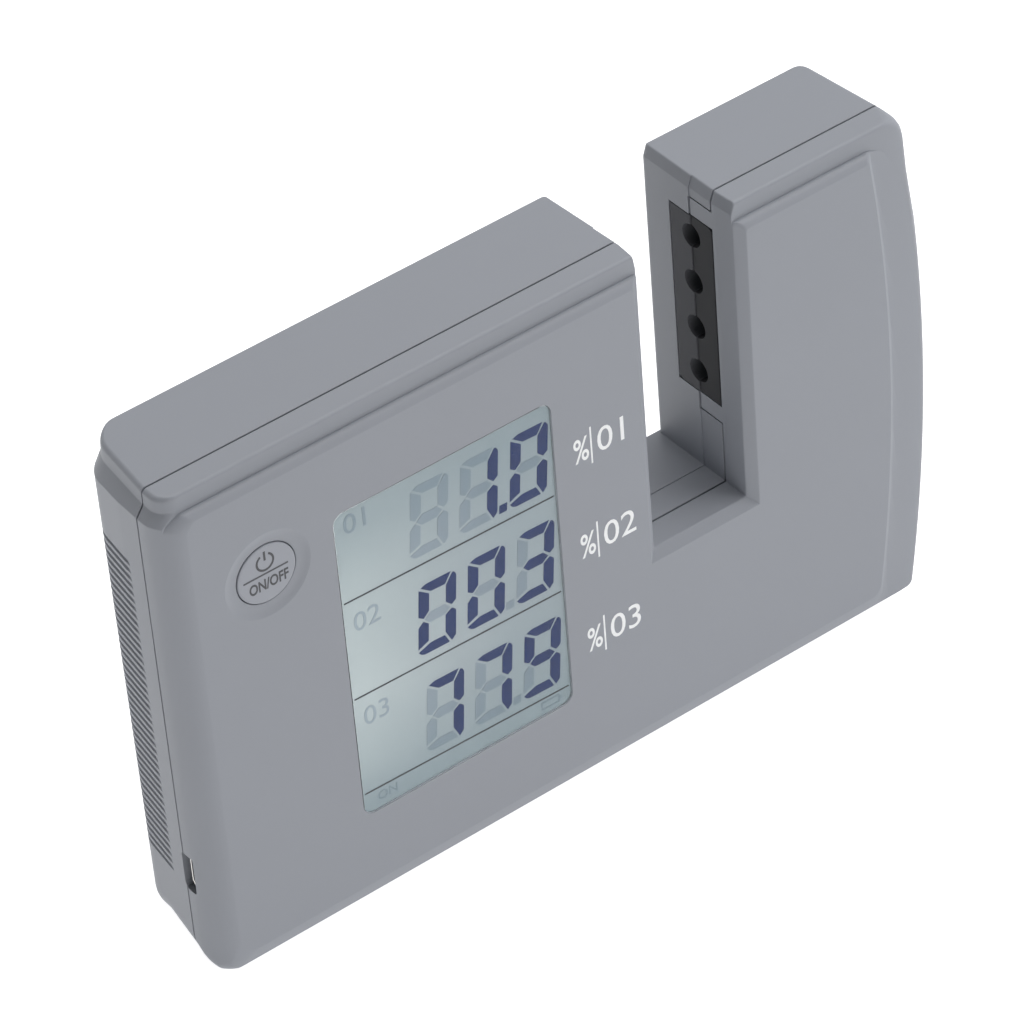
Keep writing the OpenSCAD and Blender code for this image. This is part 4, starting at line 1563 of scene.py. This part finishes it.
    def panel(self) -> Piece:
        """Builds the plain print to the right of the window.

        Returns:
            The piece.
        """
        solid = Solid()
        sign, sign_end, bar, words = self.label_x
        wide, below, above = self.label_bar
        for figure, z in self.labels:
            solid.lettered("%", (sign, sign_end), (z, z + self.label_h), self.print_depth, self.label_bold)
            solid.block((bar, bar + wide), self.print_depth, (z - below, z + above))
            solid.lettered(figure, (words,), (z, z + self.label_h), self.print_depth)
        return solid.publish("panel_print", Body.CASE, "print_white", "shell_grey")


@dataclass
class Button:
    """Round push button with its power sign, rule and words."""

    centre: Pair = (17.35, 73.55)
    profile: Table = (
        (0, 0.35), (4.95, 0.35), (5.15, 0.37), (5.25, 0.42), (5.29, 0.5), (5.3, 0.62), (5.3, 2), (6.5, 2),
        (6.5, 2.8), (2, 2.8), (2, 3.6), (0, 3.6),
    )
    mark_depth: Pair = (0.32, 0.39)
    sign: tuple[float, float, float, float] = (17.27, 75.85, 1.68, 0.36)
    sign_gap: float = math.radians(30)
    sign_points: int = 40
    sign_bar: Pair = (0.3, 2.0)
    rule: tuple[float, float, float, float] = (13.1, 21.25, 73.52, 73.8)
    caption: str = "ON/OFF"
    words: tuple[float, float, float, float] = (14.0, 21.15, 70.7, 72.75)
    bold: float = 0.02

    def cap(self) -> Piece:
        """Builds the button with its soft edge, collar and stem.

        Returns:
            The piece.
        """
        x, z = self.centre
        solid = Solid().turned(place(x, 0, z), REARWARD, self.profile, Steps.FINE_TURN)
        return solid.publish("button", Body.BUTTON, "button_grey", replaces=["button_cap"])

    def marks(self) -> Piece:
        """Builds the dark marks on the button's face.

        Returns:
            The piece.
        """
        solid = Solid()
        x, z, r, stroke = self.sign
        sweep, count = 2 * math.pi - 2 * self.sign_gap, self.sign_points
        turns = [self.sign_gap + sweep * k / count for k in range(count + 1)]
        outer = [(x + r * math.sin(t), z + r * math.cos(t)) for t in turns]
        inner = [(x + (r - stroke) * math.sin(t), z + (r - stroke) * math.cos(t)) for t in reversed(turns)]
        solid.loft([front_view(outer + inner, d) for d in self.mark_depth])
        start, end = self.sign_bar
        solid.block((x - stroke / 2, x + stroke / 2), self.mark_depth, (z + start, z + end))
        left, right, low, high = self.rule
        solid.block((left, right), self.mark_depth, (low, high))
        left, right, low, high = self.words
        solid.lettered(self.caption, (left, right), (low, high), self.mark_depth, self.bold)
        return solid.publish("button_marks", Body.BUTTON, "print_dark", "button_grey")


@dataclass
class Switch:
    """Push switch under the button, whose snap dome flattens as the button goes in."""

    node: str = "switch_dome"
    joint: str = "button_press"
    travel: float = 0.3
    sheet: float = 0.1
    rings: int = 10

    def dome(self) -> Piece:
        """Builds the snap dome to the size of the switch's dome.

        Returns:
            The piece.
        """
        low, high = (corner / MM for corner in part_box(self.node))
        height, half = high.y - low.y, (high.x - low.x) / 2
        ball = (half**2 + height**2) / (2 * height)
        hollow = ball - self.sheet
        outer, inner = math.asin(half / ball), math.acos((ball - height) / hollow)
        shares = [k / self.rings for k in range(self.rings + 1)]
        profile = [(ball * math.sin(outer * t), ball * (1 - math.cos(outer * t))) for t in shares]
        profile += [
            (hollow * math.sin(inner * t), ball - hollow * math.cos(inner * t)) for t in reversed(shares)
        ]
        x, z = (low.x + high.x) / 2, (low.z + high.z) / 2
        solid = Solid().turned(Vector((x, low.y, z)), REARWARD, profile, Steps.TURN)
        piece = solid.publish("snap_dome", Body.CASE, "steel", replaces=[self.node])
        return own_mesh(piece)


@dataclass
class Strips:
    """Facing aperture strips in the slot's walls: two halves each, and the tray behind them."""

    case: Case
    z: Pair = (52.7, 87.7)
    optics: float = 11.5
    half: float = 5.1
    split: float = 0.03
    proud: float = 0.15
    bevel: float = 0.7
    edge: float = 0.12
    apertures: tuple[float, ...] = (56.9, 65.7, 74.7, 83.7)
    aperture: Table = (
        (0, -1), (2.15, -1), (2.15, 0.1), (2.05, 0.25), (2.05, 2.5), (3.15, 2.5), (3.15, 6), (0, 6),
    )
    flange: float = 1.5
    backs: Triple = (2.2, 3.4, 5.4)
    rim: float = 1.0
    tray_bevel: float = 0.15
    bite: float = 0.1
    past: float = 1

    def halves(self) -> tuple[Loop, Loop]:
        """Side-view outlines of the front and the rear half.

        Returns:
            Both outlines.
        """
        (low, high), cut = self.z, self.bevel
        front, rear = self.optics - self.half, self.optics + self.half
        near, far = self.optics - self.split, self.optics + self.split
        return (
            [(front, low), (near, low), (near, high), (front + cut, high), (front, high - cut)],
            [(far, low), (rear - cut, low), (rear, low + cut), (rear, high), (far, high)],
        )

    def build(self, name: str, wall: Wall) -> Piece:
        """Builds one strip.

        Args:
            name: CAD node that it stands for.
            wall: Wall of the slot that it lies in.

        Returns:
            The strip.
        """
        plate, floor, back = self.backs
        reach, rim = self.half + self.flange, self.rim
        depth = (self.optics - reach, self.optics + reach)
        z = (self.z[0] - self.flange, self.z[1] + self.flange)
        solid = Solid().block(wall.span(plate, back), depth, z, self.tray_bevel)
        for loop, start in zip(self.halves(), (0.0, -self.proud)):
            steps = [(shrink(loop, self.edge), start), (loop, start + self.edge), (loop, plate + self.bite)]
            half = Solid().loft([side_view(points, wall.into(out)) for points, out in steps])
            solid.combine(half, Cut.JOIN)
        hollow = (depth[0] + rim, depth[1] - rim), (z[0] + rim, z[1] - rim)
        solid.combine(Solid().block(wall.span(floor, back + self.past), *hollow), Cut.TAKE)
        holes = Solid()
        for height in self.apertures:
            centre = place(wall.x, self.optics, height)
            holes.turned(centre, Vector((wall.way, 0, 0)), self.aperture, Steps.TURN)
        solid.combine(holes, Cut.TAKE)
        return solid.publish(name + "_faces", Body.CASE, "strip_black", replaces=[name])

    def both(self) -> list[Piece]:
        """Builds the strips of both walls."""
        left, right = self.case.walls()
        return [self.build("emitter_strip", right), self.build("receiver_strip", left)]


@dataclass
class Inlet:
    """Charging inlet in the left side: a rolled shell round a dark socket with its tongue."""

    x: Pair = (0.8, 6.3)
    outline: Table = ((4.1, 16.55), (4.1, 22.75), (5.15, 22.75), (5.85, 21.85), (5.85, 17.45), (5.15, 16.55))
    corner_r: float = 0.3
    sheet: float = 0.25
    roll: float = 0.08
    shell_end: float = 0.5
    feet: Pair = (18.0, 20.6)
    foot_x: Pair = (2.4, 0.4)
    foot_depth: Pair = (5.75, 6.38)
    foot_wide: float = 0.7
    play: float = 0.01
    socket_wall: float = 0.12
    socket_x: Triple = (0.35, 0.52, 0.8)
    tongue: tuple[float, float, float, float] = (4.925, 5.525, 17.7, 21.5)
    tongue_x: Pair = (1.2, 0.7)
    tongue_bevel: float = 0.1

    def mouth_loop(self) -> Loop:
        """Side-view outline of the rolled shell."""
        return rounded([Corner(f, z, self.corner_r, Steps.SMALL) for f, z in self.outline])

    def shell(self) -> Piece:
        """Builds the rolled metal shell, which stands on the board by two feet.

        Returns:
            The piece.
        """
        mouth, back = self.x
        outer = self.mouth_loop()
        inner, middle = shrink(outer, self.sheet), shrink(outer, self.sheet / 2)
        turn = mouth + self.roll
        steps = [(outer, back), (outer, turn), (middle, mouth), (inner, turn), (inner, back - self.shell_end)]
        solid = Solid().loft([side_view(loop, x) for loop, x in steps])
        start, end = self.foot_x
        for z in self.feet:
            solid.block((mouth + start, back - end), self.foot_depth, (z, z + self.foot_wide))
        return solid.publish("inlet_shell", Body.CASE, "steel", replaces=["usb_shell"])

    def socket(self) -> Piece:
        """Builds the dark socket inside the shell with its tongue.

        Returns:
            The piece.
        """
        mouth, back = self.x
        outer = shrink(self.mouth_loop(), self.sheet + self.play)
        inner = shrink(outer, self.socket_wall)
        start, end, floor = self.socket_x
        steps = [(outer, back - end), (outer, mouth + start), (inner, mouth + start), (inner, back - floor)]
        solid = Solid().loft([side_view(loop, x) for loop, x in steps])
        front, rear, low, high = self.tongue
        start, end = self.tongue_x
        solid.block((mouth + start, back - end), (front, rear), (low, high), self.tongue_bevel)
        return solid.publish("inlet_socket", Body.CASE, "chip_black", replaces=["usb_tongue"])


@dataclass(frozen=True)
class Lamp:
    """A square soft lamp: its name, its place in metres and its power in watts."""

    name: str
    at: Triple
    watts: float


@dataclass
class Studio:
    """Camera at the photograph's angle, soft light and a white floor."""

    eye: Triple = (-0.40129, -0.58267, 0.63711)
    right: Triple = (0.792, -0.607, -0.0654)
    up: Triple = (0.4302, 0.4789, 0.7652)
    forward: Triple = (0.4331, 0.6342, -0.6404)
    lens: float = 206.7
    sensor: float = 36
    clip: Pair = (0.05, 20)
    lamps: tuple[Lamp, ...] = (
        Lamp("side_softbox", (0.75, -0.35, 1.05), 9.5),
        Lamp("top_softbox", (0.2, 0.35, 1.25), 7),
        Lamp("front_softbox", (0.2, -1.4, 0.5), 1.6),
        Lamp("left_softbox", (-1.3, 0.1, 0.2), 1),
    )
    lamp_side: float = 0.9
    aim: Triple = (0, 0, 0.045)
    sky: float = 0.04
    backdrop: float = 1
    floor_reach: float = 6
    floor_tone: float = 0.6
    floor_roughness: float = 0.9
    floor_glow: float = 0.88

    def camera(self) -> None:
        """Places the camera."""
        data = bpy.data.cameras.new("camera")
        data.lens, data.sensor_width = self.lens, self.sensor
        data.clip_start, data.clip_end = self.clip
        camera = bpy.data.objects.new("camera", data)
        axes = Matrix((self.right, self.up, [-v for v in self.forward])).transposed().to_4x4()
        camera.matrix_world = Matrix.Translation(self.eye) @ axes
        bpy.context.scene.collection.objects.link(camera)
        bpy.context.scene.camera = camera

    def light(self, lamp: Lamp) -> None:
        """Adds a lamp that faces the meter.

        Args:
            lamp: The lamp.
        """
        data = bpy.data.lights.new(lamp.name, "AREA")
        data.size, data.energy = self.lamp_side, lamp.watts
        item = bpy.data.objects.new(lamp.name, data)
        aim = Vector(self.aim) - Vector(lamp.at)
        item.matrix_world = Matrix.Translation(lamp.at) @ aim.to_track_quat("-Z", "Y").to_matrix().to_4x4()
        bpy.context.scene.collection.objects.link(item)

    def world(self) -> None:
        """Sets an even sky that the camera sees as white."""
        world = bpy.data.worlds.new("studio")
        bpy.context.scene.world = world
        world.use_nodes = True
        sheet, nodes = NodeSheet(world.node_tree), world.node_tree.nodes
        sky = sheet.feed(nodes["Background"], {"Color": WHITE, "Strength": self.sky})
        white = sheet.add("Background", {"Color": WHITE, "Strength": self.backdrop})
        mix = sheet.add("MixShader", {"Fac": self.seen(sheet), 1: sky.outputs[0], 2: white.outputs[0]})
        sheet.feed(nodes["World Output"], {"Surface": mix.outputs[0]})

    @staticmethod
    def seen(sheet: NodeSheet) -> Socket:
        """Finds what the camera sees, directly, mirrored or through glass.

        Args:
            sheet: Sheet of the world's nodes.

        Returns:
            Socket that is 1 for it and 0 for the rest.
        """
        path = sheet.add("LightPath").outputs
        total = path["Is Camera Ray"]
        for other in ("Is Glossy Ray", "Is Transmission Ray"):
            total = sheet.add("Math", {0: total, 1: path[other]}, operation="MAXIMUM").outputs[0]
        return total

    def floor(self) -> None:
        """Lays a white floor, whose glow also lights the meter from below and washes out its shadow."""
        bm = bmesh.new()
        bmesh.ops.create_grid(bm, x_segments=1, y_segments=1, size=self.floor_reach)
        mesh = bpy.data.meshes.new("floor")
        bm.to_mesh(mesh)
        bm.free()
        floor = bpy.data.objects.new("floor", mesh)
        bpy.context.scene.collection.objects.link(floor)
        material = bpy.data.materials.new("floor_white")
        material.use_nodes = True
        NodeSheet(material.node_tree).feed(material.node_tree.nodes["Principled BSDF"], {
            "Base Color": (*(self.floor_tone,) * 3, 1),
            "Roughness": self.floor_roughness,
            "Specular IOR Level": 0,
            "Emission Color": WHITE,
            "Emission Strength": self.floor_glow,
        })
        mesh.materials.append(material)

    def build(self) -> None:
        """Sets up the whole studio."""
        bpy.context.scene.view_settings.view_transform = "Standard"
        self.camera()
        self.world()
        for lamp in self.lamps:
            self.light(lamp)
        self.floor()


def dress_frame(frame: dict) -> None:
    """Gives every CAD node its finish by the record's slot.
    """
    for part in frame["record"]["subparts"]:
        node = frame["nodes"][part["node"]]
        node.data.materials.clear()
        node.data.materials.append(Palette.get(part["material_slot"]))


def plain(box: Iterable[Iterable[float]]) -> list[list[float]]:
    """A box as plain lists of numbers."""
    return [[float(v) for v in corner] for corner in box]


def main() -> None:
    """Builds the meter's looks in order."""
    logging.basicConfig(level=logging.INFO, format="%(message)s")
    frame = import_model()
    dress_frame(frame)
    Studio().build()
    case, button = Case(), Button()
    strips = Strips(case)
    shells = Shells(case, strips, button)
    shells.front()
    shells.rear()
    display = Display()
    display.window()
    display.face()
    display.marks()
    display.panel()
    button.cap()
    button.marks()
    Switch().dome()
    strips.both()
    inlet = Inlet()
    inlet.shell()
    inlet.socket()


if __name__ == "__main__":
    main()
